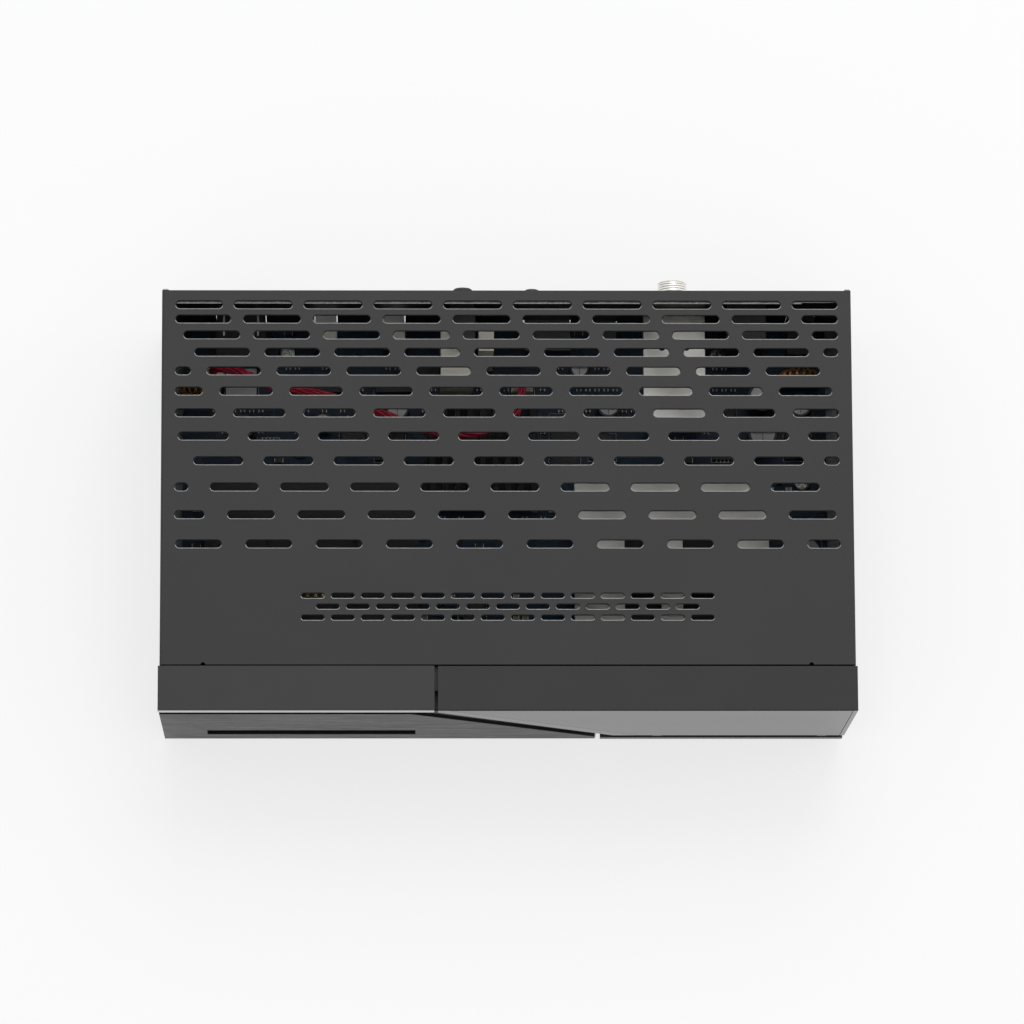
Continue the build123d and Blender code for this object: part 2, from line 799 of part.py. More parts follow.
with BuildPart() as standoffs:
    with BuildSketch(Plane.XY.offset(tray_top_z)):
        with Locations(*standoff_places):
            RegularPolygon(hexagon_radius, 6)
            Circle(screw_radius, mode=Mode.SUBTRACT)
    extrude(amount=standoff_height)
write(standoffs, "standoffs")

with BuildPart() as board_screws:
    for x, y in standoff_places:
        rod((x, y, board_top_z), board_head_radius, board_head_height, "z")
        rod((x, y, board_z - board_shank), screw_radius - pin_clearance, board_shank + board_thickness, "z")
    fillet(board_screws.edges().filter_by(GeomType.CIRCLE).group_by(Axis.Z)[-1], head_round)
write(board_screws, "board_screws")

# ---------------------------------------------------------------- card reader and module bay
reader_cheek = 2.0
reader_width = nose_width + 2 * reader_cheek
reader_depth = 68.0
reader_height = 8.6
reader_setback = 1.0
reader_front_y = seam_y + reader_setback
reader_end_wall = 6.0
hollow_width = 30.0
hollow_length = 26.0
hollow_depth = 3.0
hollow_share = 0.55

with BuildPart() as card_reader:
    block(span(card_slot_x, reader_width), (reader_front_y, reader_front_y + reader_depth),
          (board_top_z, board_top_z + reader_height))
    block(span(card_slot_x, nose_width), (nose_front_y, reader_front_y), span(card_slot_z, nose_height))
    block(span(card_slot_x, card_width), (nose_front_y, reader_front_y + reader_depth - reader_end_wall),
          span(card_slot_z, card_thickness), Mode.SUBTRACT)
    with BuildSketch(Plane.XY.offset(board_top_z + reader_height)):
        with Locations((card_slot_x, reader_front_y + reader_depth * hollow_share)):
            RectangleRounded(hollow_width, hollow_length, hollow_depth)
    extrude(amount=-hollow_depth, mode=Mode.SUBTRACT)
write(card_reader, "card_reader")

rail_width = 4.05
cage_sheet = 0.4
cage_width = module_width + 2 * (rail_width + cage_sheet)
cage_depth = 68.0
cage_rear_y = seam_y + cage_depth
cage_room_below = 1.6
cage_room_above = 2.0
cage_low_z = module_z - module_height / 2 - cage_room_below
cage_top_z = module_z + module_height / 2 + cage_room_above
cage_y = (seam_y + part_gap, cage_rear_y)
cage_window_width = 12.0
cage_window_length = 16.0
cage_window_round = 2.0
cage_window_step_x = 19.0
cage_window_step_y = 24.0
cage_leg_length = 5.0
cage_leg_inset = 4.0

with BuildPart() as module_cage:
    block(span(module_x, cage_width), cage_y, (cage_low_z, cage_top_z))
    block(span(module_x, cage_width - 2 * cage_sheet), cage_y,
          (cage_low_z + cage_sheet, cage_top_z - cage_sheet), Mode.SUBTRACT)
    with BuildSketch(Plane.XY.offset(cage_top_z)):
        with Locations((module_x, (cage_y[0] + cage_y[1]) / 2)):
            with GridLocations(cage_window_step_x, cage_window_step_y, 2, 2):
                RectangleRounded(cage_window_width, cage_window_length, cage_window_round)
    extrude(amount=-cage_sheet, mode=Mode.SUBTRACT)
    for side in (-1, 1):
        for y in (board_front_y + cage_leg_inset, cage_rear_y - cage_leg_inset - cage_leg_length):
            edge = module_x + side * cage_width / 2
            leg = sorted((edge, edge - side * cage_sheet))
            block(leg, (y, y + cage_leg_length), (board_top_z, cage_low_z))
write(module_cage, "module_cage")

strip_depth = 8.0
contact_columns = 34
contact_pitch = 1.27
contact_row_gap = 1.3
contact_side = 0.5
contact_length = 5.0

with BuildPart() as module_guide:
    low = cage_low_z + cage_sheet
    high = cage_top_z - cage_sheet
    block(span(module_x, cage_width - 2 * cage_sheet), (cage_y[0], cage_rear_y), (low, high))
    block(span(module_x, module_width), (cage_y[0], cage_rear_y - strip_depth), (low, high), Mode.SUBTRACT)
    block(span(module_x, module_width), (cage_y[0], cage_rear_y - strip_depth),
          (low, module_z - module_height / 2))
write(module_guide, "module_guide")

with BuildPart() as module_contacts:
    with BuildSketch(facing(cage_rear_y - strip_depth)):
        with Locations((module_x, module_z)):
            with GridLocations(contact_pitch, contact_row_gap, contact_columns, 2):
                Rectangle(contact_side, contact_side)
    extrude(amount=contact_length)
write(module_contacts, "module_contacts")

# ---------------------------------------------------------------- rear sockets
def socket_shell(x, width, height, depth, cavity, cavity_depth, lift=0.0):
    """Square socket on the board with its mouth in the rear panel."""
    with BuildPart() as shell:
        block(span(x, width), (mouth_y - depth, mouth_y), (board_top_z, board_top_z + height))
        middle = board_top_z + height / 2 + lift
        block(span(x, cavity[0]), (mouth_y - cavity_depth, mouth_y), span(middle, cavity[1]), Mode.SUBTRACT)
    return shell


def tongue(x, z, width, thickness, reach, inner_depth):
    """Contact tongue standing in the cavity of a socket."""
    with BuildPart() as blade:
        back = mouth_y - inner_depth
        block(span(x, width), (back, back + reach), span(z, thickness))
    return blade


lan_cavity = (11.9, 8.4)
lan_cavity_depth = 13.0
lan_lift = -0.9
lan_contact_count = 8
lan_contact_pitch = 1.02
lan_contact_width = 0.4
lan_contact_height = 0.5
lan_contact_length = 6.0
lan_contact_drop = 0.4
lan_contact_z = board_top_z + lan_height / 2 + lan_lift + lan_cavity[1] / 2 - lan_contact_drop
lan_socket = socket_shell(lan_x, lan_width, lan_height, lan_depth, lan_cavity, lan_cavity_depth, lan_lift)
write(lan_socket, "lan_socket")

with BuildPart() as lan_contacts:
    with BuildSketch(facing(mouth_y - lan_cavity_depth + lan_contact_length)):
        with Locations((lan_x, lan_contact_z)):
            with GridLocations(lan_contact_pitch, lan_contact_height, lan_contact_count, 1):
                Rectangle(lan_contact_width, lan_contact_height)
    extrude(amount=lan_contact_length)
write(lan_contacts, "lan_contacts")

usb_cavity = (5.1, 12.5)
usb_cavity_depth = 12.0
usb_tongue_width = 1.84
usb_tongue_height = 11.1
usb_tongue_length = 8.8
usb_tongue_shift = 0.75
usb_tongue_z = board_top_z + usb_height / 2

with BuildPart() as usb_sockets:
    for x in usb_x:
        add(socket_shell(x, usb_width, usb_height, usb_depth, usb_cavity, usb_cavity_depth).part)
write(usb_sockets, "usb_sockets")

with BuildPart() as usb_tongues:
    for x in usb_x:
        add(tongue(x + usb_tongue_shift, usb_tongue_z, usb_tongue_width, usb_tongue_height,
                   usb_tongue_length, usb_cavity_depth).part)
write(usb_tongues, "usb_tongues")

hdmi_cavity = (14.0, 4.6)
hdmi_cavity_depth = 9.0
hdmi_tongue_width = 12.0
hdmi_tongue_thickness = 1.2
hdmi_tongue_length = 6.5
hdmi_tongue_lift = 0.4
hdmi_tongue_z = board_top_z + hdmi_height / 2 + hdmi_tongue_lift
hdmi_socket = socket_shell(hdmi_x, hdmi_width, hdmi_height, hdmi_depth, hdmi_cavity, hdmi_cavity_depth)
write(hdmi_socket, "hdmi_socket")
hdmi_tongue = tongue(
    hdmi_x, hdmi_tongue_z, hdmi_tongue_width, hdmi_tongue_thickness, hdmi_tongue_length, hdmi_cavity_depth)
write(hdmi_tongue, "hdmi_tongue")

service_cavity = (6.7, 3.1)
service_cavity_depth = 6.5
service_socket = socket_shell(
    service_x, service_width, service_height, service_depth, service_cavity, service_cavity_depth)
write(service_socket, "service_socket")

inlet_bore_radius = 3.0
inlet_bore_depth = 9.5
inlet_pin_radius = 1.0
inlet_pin_length = 8.8
inlet_lift = 0.8
inlet_z = board_top_z + inlet_height / 2 + inlet_lift

with BuildPart() as dc_inlet:
    block(span(inlet_x, inlet_width), (mouth_y - inlet_depth, mouth_y),
          (board_top_z, board_top_z + inlet_height))
    rod((inlet_x, mouth_y - inlet_bore_depth, inlet_z), inlet_bore_radius, inlet_bore_depth, "y",
        Mode.SUBTRACT)
    rod((inlet_x, mouth_y - inlet_bore_depth, inlet_z), inlet_pin_radius, inlet_pin_length, "y")
write(dc_inlet, "dc_inlet")

jack_width = 8.0
jack_depth = 14.0
jack_cheek = 4.5
jack_gap = 0.2
jack_bore_radius = 1.8
jack_bore_depth = 16.0
collar_break = 0.4
collar_end_y = panel_y + collar_reach

with BuildPart() as av_jack:
    block(span(jack_x, jack_width), (panel_inner_y - jack_depth, panel_inner_y - jack_gap),
          (board_top_z, jack_z + jack_cheek))
    rod((jack_x, panel_inner_y - jack_gap, jack_z), collar_radius, sheet + jack_gap + collar_reach, "y")
    rod((jack_x, collar_end_y - jack_bore_depth, jack_z), jack_bore_radius, jack_bore_depth, "y",
        Mode.SUBTRACT)
    collar_edges = av_jack.edges().filter_by(GeomType.CIRCLE).group_by(Axis.Y)[-1]
    chamfer(collar_edges.sort_by(SortBy.RADIUS)[-1], collar_break)
write(av_jack, "av_jack")

# ---------------------------------------------------------------- tuner and antenna connector
tuner_setback = 1.0
tuner_rear_y = panel_inner_y - tuner_setback
tuner_sheet = 0.4
tuner_hole_radius = 1.2
tuner_hole_step_x = 8.0
tuner_hole_step_y = 12.0
root_radius = 1.9
root_length = 3.0

with BuildPart() as tuner_can:
    block(span(tuner_x, tuner_width), (tuner_rear_y - tuner_depth, tuner_rear_y),
          (board_top_z, board_top_z + tuner_height))
    block(span(tuner_x, tuner_width - 2 * tuner_sheet),
          (tuner_rear_y - tuner_depth + tuner_sheet, tuner_rear_y - tuner_sheet),
          (board_top_z, board_top_z + tuner_height - tuner_sheet), Mode.SUBTRACT)
    rod((antenna_x, tuner_rear_y - tuner_sheet, antenna_z), root_radius + edge_gap, tuner_sheet, "y",
        Mode.SUBTRACT)
    with BuildSketch(Plane.XY.offset(board_top_z + tuner_height)):
        with Locations((tuner_x, tuner_rear_y - tuner_depth / 2)):
            with GridLocations(tuner_hole_step_x, tuner_hole_step_y, 2, 2):
                Circle(tuner_hole_radius)
    extrude(amount=-tuner_sheet, mode=Mode.SUBTRACT)
    chamfer(tuner_can.edges().filter_by(Axis.Z).group_by(SortBy.LENGTH)[-1], tuner_sheet)
write(tuner_can, "tuner_can")

antenna_end_y = rear_y + thread_reach
barrel_floor = 1.0
dielectric_radius = 3.3
dielectric_recess = 0.8
centre_bore_radius = 0.8
centre_bore_depth = 7.0
washer_thickness = 0.6
nut_thickness = 2.2
nut_half_width = 5.55
washer_radius = 7.0
fit_gap = 0.03
nut_face_y = panel_y + washer_thickness + nut_thickness

with BuildPart() as f_connector:
    rod((antenna_x, tuner_rear_y, antenna_z), shoulder_radius, nut_face_y - tuner_rear_y, "y")
    rod((antenna_x, nut_face_y, antenna_z), barrel_radius, antenna_end_y - nut_face_y, "y")
    rod((antenna_x, tuner_rear_y + barrel_floor, antenna_z), dielectric_radius,
        antenna_end_y - tuner_rear_y, "y", Mode.SUBTRACT)
    rod((antenna_x, tuner_rear_y - root_length, antenna_z), root_radius, root_length, "y")
    barrel_edges = f_connector.edges().filter_by(GeomType.CIRCLE).group_by(Axis.Y)[-1]
    chamfer(barrel_edges.sort_by(SortBy.RADIUS)[-1], collar_break)
write(f_connector, "f_connector")

with BuildPart() as f_insulator:
    rod((antenna_x, tuner_rear_y + barrel_floor, antenna_z), dielectric_radius - fit_gap,
        antenna_end_y - dielectric_recess - tuner_rear_y - barrel_floor, "y")
    rod((antenna_x, antenna_end_y - centre_bore_depth, antenna_z), centre_bore_radius, centre_bore_depth, "y",
        Mode.SUBTRACT)
write(f_insulator, "f_insulator")

with BuildPart() as f_nut:
    with BuildSketch(facing(nut_face_y)):
        with Locations((antenna_x, antenna_z)):
            RegularPolygon(nut_half_width, 6, major_radius=False)
            Circle(shoulder_radius + fit_gap, mode=Mode.SUBTRACT)
    extrude(amount=nut_thickness)
write(f_nut, "f_nut")

with BuildPart() as f_washer:
    rod((antenna_x, panel_y, antenna_z), washer_radius, washer_thickness, "y")
    rod((antenna_x, panel_y, antenna_z), shoulder_radius + edge_gap, washer_thickness, "y", Mode.SUBTRACT)
write(f_washer, "f_washer")

# ---------------------------------------------------------------- power switch
rocker_width = 9.0
rocker_length = 14.6
rocker_tilt = 7.0
rocker_crown = 3.2
rocker_end_rise = 2.6
rocker_skirt = 1.0
rocker_keel = 3.0
rocker_keel_width = 4.0
rocker_well = 7.5
pivot_depth = 2.5
pivot_radius = 1.0
pivot_length = 1.0
pivot_y = panel_y - pivot_depth
bezel_lip = 1.0
bezel_border = 1.0

with BuildPart() as switch_housing:
    block(span(switch_x, switch_width), (panel_inner_y - switch_depth, panel_y),
          span(switch_z, switch_height))
    block(span(switch_x, switch_width + 2 * bezel_border), (panel_y, panel_y + bezel_lip),
          span(switch_z, switch_height + 2 * bezel_border))
    block(span(switch_x, rocker_width + 2 * part_gap), (panel_y - rocker_well, panel_y + bezel_lip),
          span(switch_z, rocker_length + 4 * part_gap), Mode.SUBTRACT)
    pivot_room = rocker_width + 2 * (pivot_length + part_gap)
    rod((switch_x - pivot_room / 2, pivot_y, switch_z), pivot_radius + pin_clearance, pivot_room, "x",
        Mode.SUBTRACT)
write(switch_housing, "switch_housing")

rocker_origin = (switch_x - rocker_width / 2, pivot_y, switch_z)
rocker_frame = Plane(origin=rocker_origin, x_dir=(0, 1, 0), z_dir=(1, 0, 0))
with BuildPart() as power_rocker:
    with BuildSketch(rocker_frame.rotated((rocker_tilt, 0, 0))):
        half = rocker_length / 2 - 2 * edge_gap
        with BuildLine():
            Polyline(
                (-rocker_keel, -rocker_keel_width / 2),
                (-rocker_skirt, -half),
                (rocker_end_rise, -half),
                (rocker_crown, 0),
                (rocker_end_rise, half),
                (-rocker_skirt, half),
                (-rocker_keel, rocker_keel_width / 2),
                close=True,
            )
        make_face()
    extrude(amount=rocker_width)
    rod((switch_x - rocker_width / 2 - pivot_length, pivot_y, switch_z), pivot_radius,
        rocker_width + 2 * pivot_length, "x")
write(power_rocker, "power_rocker")

# ---------------------------------------------------------------- parts on the main board
processor_place = (board_x(-0.0706), board_y(0.623))
processor_size = 27.0
processor_height = 2.2
processor_corner = 0.8
sink_size = 37.0
sink_base = 2.0
fin_count = 9
fin_rows = 3
fin_width = 1.4
fin_length = 10.0
fin_gap = 3.0
fin_height = 7.0

with BuildPart() as processor:
    block(span(processor_place[0], processor_size), span(processor_place[1], processor_size),
          (board_top_z, board_top_z + processor_height))
    chamfer(processor.edges().filter_by(Axis.Z), processor_corner)
write(processor, "processor")

with BuildPart() as heat_sink:
    base_z = board_top_z + processor_height
    block(span(processor_place[0], sink_size), span(processor_place[1], sink_size),
          (base_z, base_z + sink_base))
    with Locations((*processor_place, base_z + sink_base)):
        with GridLocations(sink_size / fin_count, fin_length + fin_gap, fin_count, fin_rows):
            Box(fin_width, fin_length, fin_height, align=(Align.CENTER, Align.CENTER, Align.MIN))
write(heat_sink, "heat_sink")


def chips(shares, width, depth, height):
    """Packages of one size on the main board, at shares of its half width and depth."""
    with BuildPart() as group:
        for across, along in shares:
            block(span(board_x(across), width), span(board_y(along), depth),
                  (board_top_z, board_top_z + height))
    return group


memory_shares = [(0.1864, 0.6), (0.1864, 0.7), (-0.3581, 0.655)]
write(chips(memory_shares, width=9.0, depth=10.0, height=1.2), "memory_chips")
regulator_shares = [
    (0.677, 0.634), (0.687, 0.735), (0.917, 0.2), (-0.059, 0.29), (0.059, 0.27), (-0.736, 0.65)]
write(chips(regulator_shares, width=6.0, depth=5.0, height=1.6), "small_chips")
coil_shares = [(0.9105, 0.65), (-0.103, 0.166), (-0.4709, 0.667), (0.3022, 0.65)]
write(chips(coil_shares, width=8.0, depth=8.0, height=4.2), "power_coils")
transformer_shares = [(-0.8198, 0.828)]
write(chips(transformer_shares, width=10.0, depth=9.0, height=6.4), "lan_transformer")
filter_shares = [(-0.549, 0.8215), (-0.3349, 0.8215)]
write(chips(filter_shares, width=14.0, depth=5.0, height=6.0), "usb_filters")

can_round = 0.5
capacitor_sizes = [
    (0.7972, 0.666, 5.0, 12.5),
    (0.7972, 0.774, 5.0, 12.5),
    (0.9154, 0.7525, 4.0, 11.0),
    (-0.8114, 0.692, 4.0, 10.0),
    (-0.3349, 0.744, 4.0, 10.0),
    (-0.5661, 0.709, 3.2, 8.0),
    (0.3208, 0.7525, 4.0, 10.0),
    (0.2312, 0.8646, 3.2, 8.0),
]
with BuildPart() as capacitors:
    for across, along, radius, height in capacitor_sizes:
        rod((board_x(across), board_y(along), board_top_z), radius, height, "z")
    fillet(capacitors.edges().filter_by(GeomType.CIRCLE).group_by(Axis.Z)[-1], can_round)
write(capacitors, "capacitors")

toroid_shares = [(-0.9478, 0.804), (0.9154, 0.839)]
toroid_radius = 4.6
toroid_section = 2.2
with BuildPart() as toroid_chokes:
    for across, along in toroid_shares:
        centre = (board_x(across), board_y(along), board_top_z + toroid_radius + toroid_section)
        with Locations(Location(centre, (90, 0, 0))):
            Torus(toroid_radius, toroid_section)
write(toroid_chokes, "toroid_chokes")

crystal_place = (board_x(-0.2547), board_y(0.8733))
crystal_length = 11.0
crystal_width = 4.6
crystal_height = 3.6
crystal_round = 2.0
cell_place = (board_x(0.9291), board_y(0.339))
cell_radius = 5.0
cell_height = 2.4
led_length = 3.0
led_width = 1.8
led_height = 1.4

with BuildPart() as crystal:
    block(span(crystal_place[0], crystal_length), span(crystal_place[1], crystal_width),
          (board_top_z, board_top_z + crystal_height))
    fillet(crystal.edges().filter_by(Axis.Z), crystal_round)
write(crystal, "crystal")

with BuildPart() as backup_cell:
    rod((*cell_place, board_top_z), cell_radius, cell_height, "z")
write(backup_cell, "backup_cell")

with BuildPart() as status_led:
    block(span(guide_x, led_width), (board_front_y, board_front_y + led_length),
          (board_z - led_height, board_z))
write(status_led, "status_led")

# ---------------------------------------------------------------- loom between its two headers
header_height = 7.0
header_length = 7.0
header_width = 5.6
plug_length = 6.0
plug_width = 4.6
plug_height = 2.0
header_a = (board_x(-0.9057), board_y(0.85))
header_b = (board_x(0.0528), board_y(0.8233))
loom_radius = 1.6
arc_share = 0.45
loom_low_z = board_top_z + header_height + plug_height
loom_rise = 7.6
loom_end_z = loom_low_z + loom_rise
# Up from one header, over the rear of the board clear of the tall parts, down to the other
loom_route = [
    (*header_a, loom_low_z),
    (*header_a, loom_end_z),
    (-87.0, 43.2, 32.0),
    (-77.0, 37.5, 31.0),
    (-62.0, 36.5, 30.0),
    (-40.0, 29.5, 29.0),
    (-24.0, 23.0, 28.5),
    (-9.0, 22.5, 28.5),
    (4.5, 28.5, 29.0),
    (*header_b, loom_end_z),
    (*header_b, loom_low_z),
]

with BuildPart() as wire_headers:
    for x, y in (header_a, header_b):
        block(span(x, header_length), span(y, header_width), (board_top_z, board_top_z + header_height))
write(wire_headers, "wire_headers")

with BuildPart() as wire_plugs:
    for x, y in (header_a, header_b):
        block(span(x, plug_length), span(y, plug_width), (board_top_z + header_height, loom_low_z))
write(wire_plugs, "wire_plugs")


def bend_radii(route):
    """Arc at each corner of a route, as large as its two runs allow."""
    radii = []
    for before, corner, after in zip(route, route[1:], route[2:]):
        first = Vector(*corner) - Vector(*before)
        second = Vector(*after) - Vector(*corner)
        turn = radians(first.get_angle(second))
        radii.append(arc_share * min(first.length, second.length) / tan(turn / 2))
    return radii


with BuildPart() as wire_loom:
    with BuildLine() as loom_path:
        FilletPolyline(*loom_route, radius=bend_radii(loom_route))
    with BuildSketch(Plane(origin=loom_path.line @ 0, z_dir=loom_path.line % 0)):
        Circle(loom_radius)
    sweep()
write(wire_loom, "wire_loom")
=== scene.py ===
import math
from functools import partial

import bmesh
import bpy
from mathutils import Matrix, Vector


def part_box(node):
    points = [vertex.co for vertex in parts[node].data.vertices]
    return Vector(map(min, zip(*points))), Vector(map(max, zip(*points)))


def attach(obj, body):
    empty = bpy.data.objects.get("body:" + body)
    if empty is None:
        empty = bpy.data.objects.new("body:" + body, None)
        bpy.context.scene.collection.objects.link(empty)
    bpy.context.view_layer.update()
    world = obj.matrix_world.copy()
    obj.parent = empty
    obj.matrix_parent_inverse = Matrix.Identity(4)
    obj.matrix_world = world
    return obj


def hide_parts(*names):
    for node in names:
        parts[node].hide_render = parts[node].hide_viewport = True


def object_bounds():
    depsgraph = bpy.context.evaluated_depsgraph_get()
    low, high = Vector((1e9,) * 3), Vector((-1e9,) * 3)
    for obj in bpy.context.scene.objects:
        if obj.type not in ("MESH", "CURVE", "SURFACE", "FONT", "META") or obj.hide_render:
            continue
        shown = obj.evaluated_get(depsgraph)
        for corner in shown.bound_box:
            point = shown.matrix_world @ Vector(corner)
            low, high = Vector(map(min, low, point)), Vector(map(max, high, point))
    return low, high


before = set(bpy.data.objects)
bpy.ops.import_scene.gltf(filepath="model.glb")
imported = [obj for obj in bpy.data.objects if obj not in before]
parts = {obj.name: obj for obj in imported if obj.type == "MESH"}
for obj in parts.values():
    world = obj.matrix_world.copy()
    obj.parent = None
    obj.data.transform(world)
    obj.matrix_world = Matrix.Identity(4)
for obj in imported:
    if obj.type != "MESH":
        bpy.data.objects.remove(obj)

cad_low, cad_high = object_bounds()
mm = 0.001

# ---------------------------------------------------------------- camera, lamps and sweep
# The receiver stands on a white table that runs on behind it. A wide soft lamp hangs high
# behind the table and a weaker one to the right, so the light falls over the rear edge.
lens_mm = 242.9
sensor_mm = 36.0
camera_place = (-0.0412, -0.4850, 2.2327)
camera_turn_deg = (12.325, -1.095, 0.022)
camera_sight = 50.0
white = (1, 1, 1)
table_white = (0.93, 0.93, 0.945)
table_share = 0.68
table_reach = 4.5
ambient_level = 0.76
backdrop_level = 1.0
front_level = 0.06
fade_front = -0.9
fade_behind = 0.1


def feed(tree, target, *ordered, **named):
    """Set a node's open inputs in their order, or by name, to plain values or to outputs."""
    pairs = list(zip([entry for entry in target.inputs if entry.enabled], ordered))
    pairs += [(target.inputs[name.replace("_", " ")], value) for name, value in named.items()]
    for entry, value in pairs:
        if isinstance(value, bpy.types.NodeSocket):
            tree.links.new(value, entry)
        else:
            entry.default_value = (*value, 1) if entry.type == "RGBA" else value


def node(tree, kind, settings=None, *ordered, **named):
    """One shader or geometry node with its settings and its inputs."""
    made = tree.nodes.new(kind)
    for name, value in (settings or {}).items():
        setattr(made, name, value)
    feed(tree, made, *ordered, **named)
    return made


def out(tree, kind, settings=None, *ordered, **named):
    """First open output of a new node."""
    made = node(tree, kind, settings, *ordered, **named)
    return next(output for output in made.outputs if output.enabled)


def sum_up(tree, operation, *values, kind="ShaderNodeMath"):
    """Output of one math node on outputs or plain values."""
    return out(tree, kind, {"operation": operation}, *values)


def remap(tree, value, low, high, new_low=0.0, new_high=1.0):
    """Output that spreads a range of values over a new range."""
    return out(tree, "ShaderNodeMapRange", None, value, low, high, new_low, new_high)


def sees_backdrop(tree):
    """1 for camera, glossy and transmission rays, which meet the plain white backdrop."""
    path = node(tree, "ShaderNodeLightPath").outputs
    lens_or_gloss = sum_up(tree, "MAXIMUM", path["Is Camera Ray"], path["Is Glossy Ray"])
    return sum_up(tree, "MAXIMUM", lens_or_gloss, path["Is Transmission Ray"])


def bare_material(name):
    """New material with its node tree and its shader."""
    material = bpy.data.materials.new(name)
    material.use_nodes = True
    return material, material.node_tree, material.node_tree.nodes["Principled BSDF"]


def set_up(name, data):
    """New object of that data in the scene."""
    made = bpy.data.objects.new(name, data)
    bpy.context.scene.collection.objects.link(made)
    return made


def new_mesh_object(name, vertices, faces):
    """Object at the origin with its place in its mesh."""
    mesh = bpy.data.meshes.new(name)
    mesh.from_pydata([tuple(v) for v in vertices], [], faces)
    mesh.update()
    return set_up(name, mesh)


camera_data = bpy.data.cameras.new("camera")
camera_data.lens = lens_mm
camera_data.sensor_width = sensor_mm
camera_data.clip_end = camera_sight
camera = set_up("camera", camera_data)
camera.location = camera_place
camera.rotation_mode = "ZYX"
camera.rotation_euler = [math.radians(angle) for angle in camera_turn_deg]
bpy.context.scene.camera = camera
bpy.context.scene.view_settings.view_transform = "Standard"

world = bpy.data.worlds.new("studio")
world.use_nodes = True
bpy.context.scene.world = world
sky = world.node_tree
direction = node(sky, "ShaderNodeTexCoord").outputs["Generated"]
depth = node(sky, "ShaderNodeSeparateXYZ", None, direction).outputs["Y"]
backdrop = remap(sky, depth, fade_front, fade_behind, front_level, backdrop_level)
level = out(sky, "ShaderNodeMix", {"data_type": "FLOAT"}, sees_backdrop(sky), ambient_level, backdrop)
feed(sky, sky.nodes["Background"], white, level)

for name, place, width, power in (
    ("lamp_behind", (0.25, 1.35, 1.55), 1.3, 13.0),
    ("lamp_right", (1.5, 0.5, 1.0), 1.0, 2.0),
):
    lamp_data = bpy.data.lights.new(name, "AREA")
    lamp_data.shape = "SQUARE"
    lamp_data.size = width
    lamp_data.energy = power
    lamp = set_up(name, lamp_data)
    lamp.location = place
    lamp.rotation_euler = (-Vector(place)).to_track_quat("-Z", "Y").to_euler()

table = new_mesh_object("table", [
    (-table_reach, -table_reach, 0), (table_reach, -table_reach, 0),
    (table_reach, table_reach, 0), (-table_reach, table_reach, 0)], [(0, 1, 2, 3)])
table_finish, tree, shader = bare_material("white_table")
feed(tree, shader, Base_Color=table_white, Roughness=0.9, Specular_IOR_Level=0.1)
paper = out(tree, "ShaderNodeEmission", None, white)
share = sum_up(tree, "MULTIPLY", sees_backdrop(tree), table_share)
blend = out(tree, "ShaderNodeMixShader", None, share, shader.outputs[0], paper)
feed(tree, tree.nodes["Material Output"], Surface=blend)
table.data.materials.append(table_finish)

# ---------------------------------------------------------------- chassis tray
# A shallow tray of galvanised sheet with turned-up sides. It is left bare, so it shows the
# spangle of the zinc and fine rolling lines, and its cut edges are brighter.
zinc = (0.30, 0.31, 0.32)
zinc_dark = (0.25, 0.26, 0.27)
grain_low, grain_high = 0.3, 0.7
patch_low, patch_high = 0.38, 0.62
edge_starts, edge_full = 0.995, 0.90


def shader_group(name, sizes, results):
    """Empty shader node group, the outputs that carry its sizes, and its end."""
    group = bpy.data.node_groups.new(name, "ShaderNodeTree")
    for label, value in sizes.items():
        kind = "NodeSocketVector" if isinstance(value, tuple) else "NodeSocketFloat"
        socket = group.interface.new_socket(name=label, in_out="INPUT", socket_type=kind)
        socket.default_value = value
    for label in results:
        group.interface.new_socket(name=label, in_out="OUTPUT", socket_type="NodeSocketFloat")
    return group, group.nodes.new("NodeGroupInput").outputs, group.nodes.new("NodeGroupOutput")


def object_place(tree):
    """Object coordinates of the shaded spot."""
    return node(tree, "ShaderNodeTexCoord").outputs["Object"]


def speckle(tree, place, scale, detail):
    """Noise from 0 to 1 over a surface."""
    return out(tree, "ShaderNodeTexNoise", None, Vector=place, Scale=scale, Detail=detail)


def build_grain_group():
    """Fine height and broad tone over a surface, from Object coordinates."""
    sizes = {"Fine scale": 2500.0, "Broad scale": 60.0, "Stretch": (1.0, 1.0, 1.0)}
    group, given, end = shader_group("surface_grain", sizes, ("Height", "Tone"))
    place = sum_up(group, "MULTIPLY", object_place(group), given["Stretch"], kind="ShaderNodeVectorMath")
    height = speckle(group, place, given["Fine scale"], 2.0)
    tone = speckle(group, place, given["Broad scale"], 3.0)
    feed(group, end, height, tone)
    return group


def build_edge_group():
    """Mask that is 1 along edges rubbed to a width of Radius, broken up by noise."""
    group, given, end = shader_group("rubbed_edge", {"Radius": 0.3 * mm, "Breakup": 400.0}, ("Mask",))
    rounded = out(group, "ShaderNodeBevel", {"samples": 4}, given["Radius"])
    flat = node(group, "ShaderNodeNewGeometry").outputs["Normal"]
    likeness = sum_up(group, "DOT_PRODUCT", rounded, flat, kind="ShaderNodeVectorMath")
    edge = remap(group, likeness, edge_starts, edge_full)
    noise = speckle(group, object_place(group), given["Breakup"], 3.0)
    feed(group, end, sum_up(group, "MULTIPLY", edge, remap(group, noise, patch_low, patch_high)))
    return group


grain_group = build_grain_group()
edge_group = build_edge_group()


def grain_of(tree, fine, broad, stretch=(1, 1, 1)):
    """Height and Tone outputs of the surface grain."""
    return node(tree, "ShaderNodeGroup", {"node_tree": grain_group}, fine, broad, stretch).outputs


def mix_colours(tree, share, first, second):
    """Output that goes from the first colour to the second as the share goes from 0 to 1."""
    return out(tree, "ShaderNodeMix", {"data_type": "RGBA"}, share, first, second)


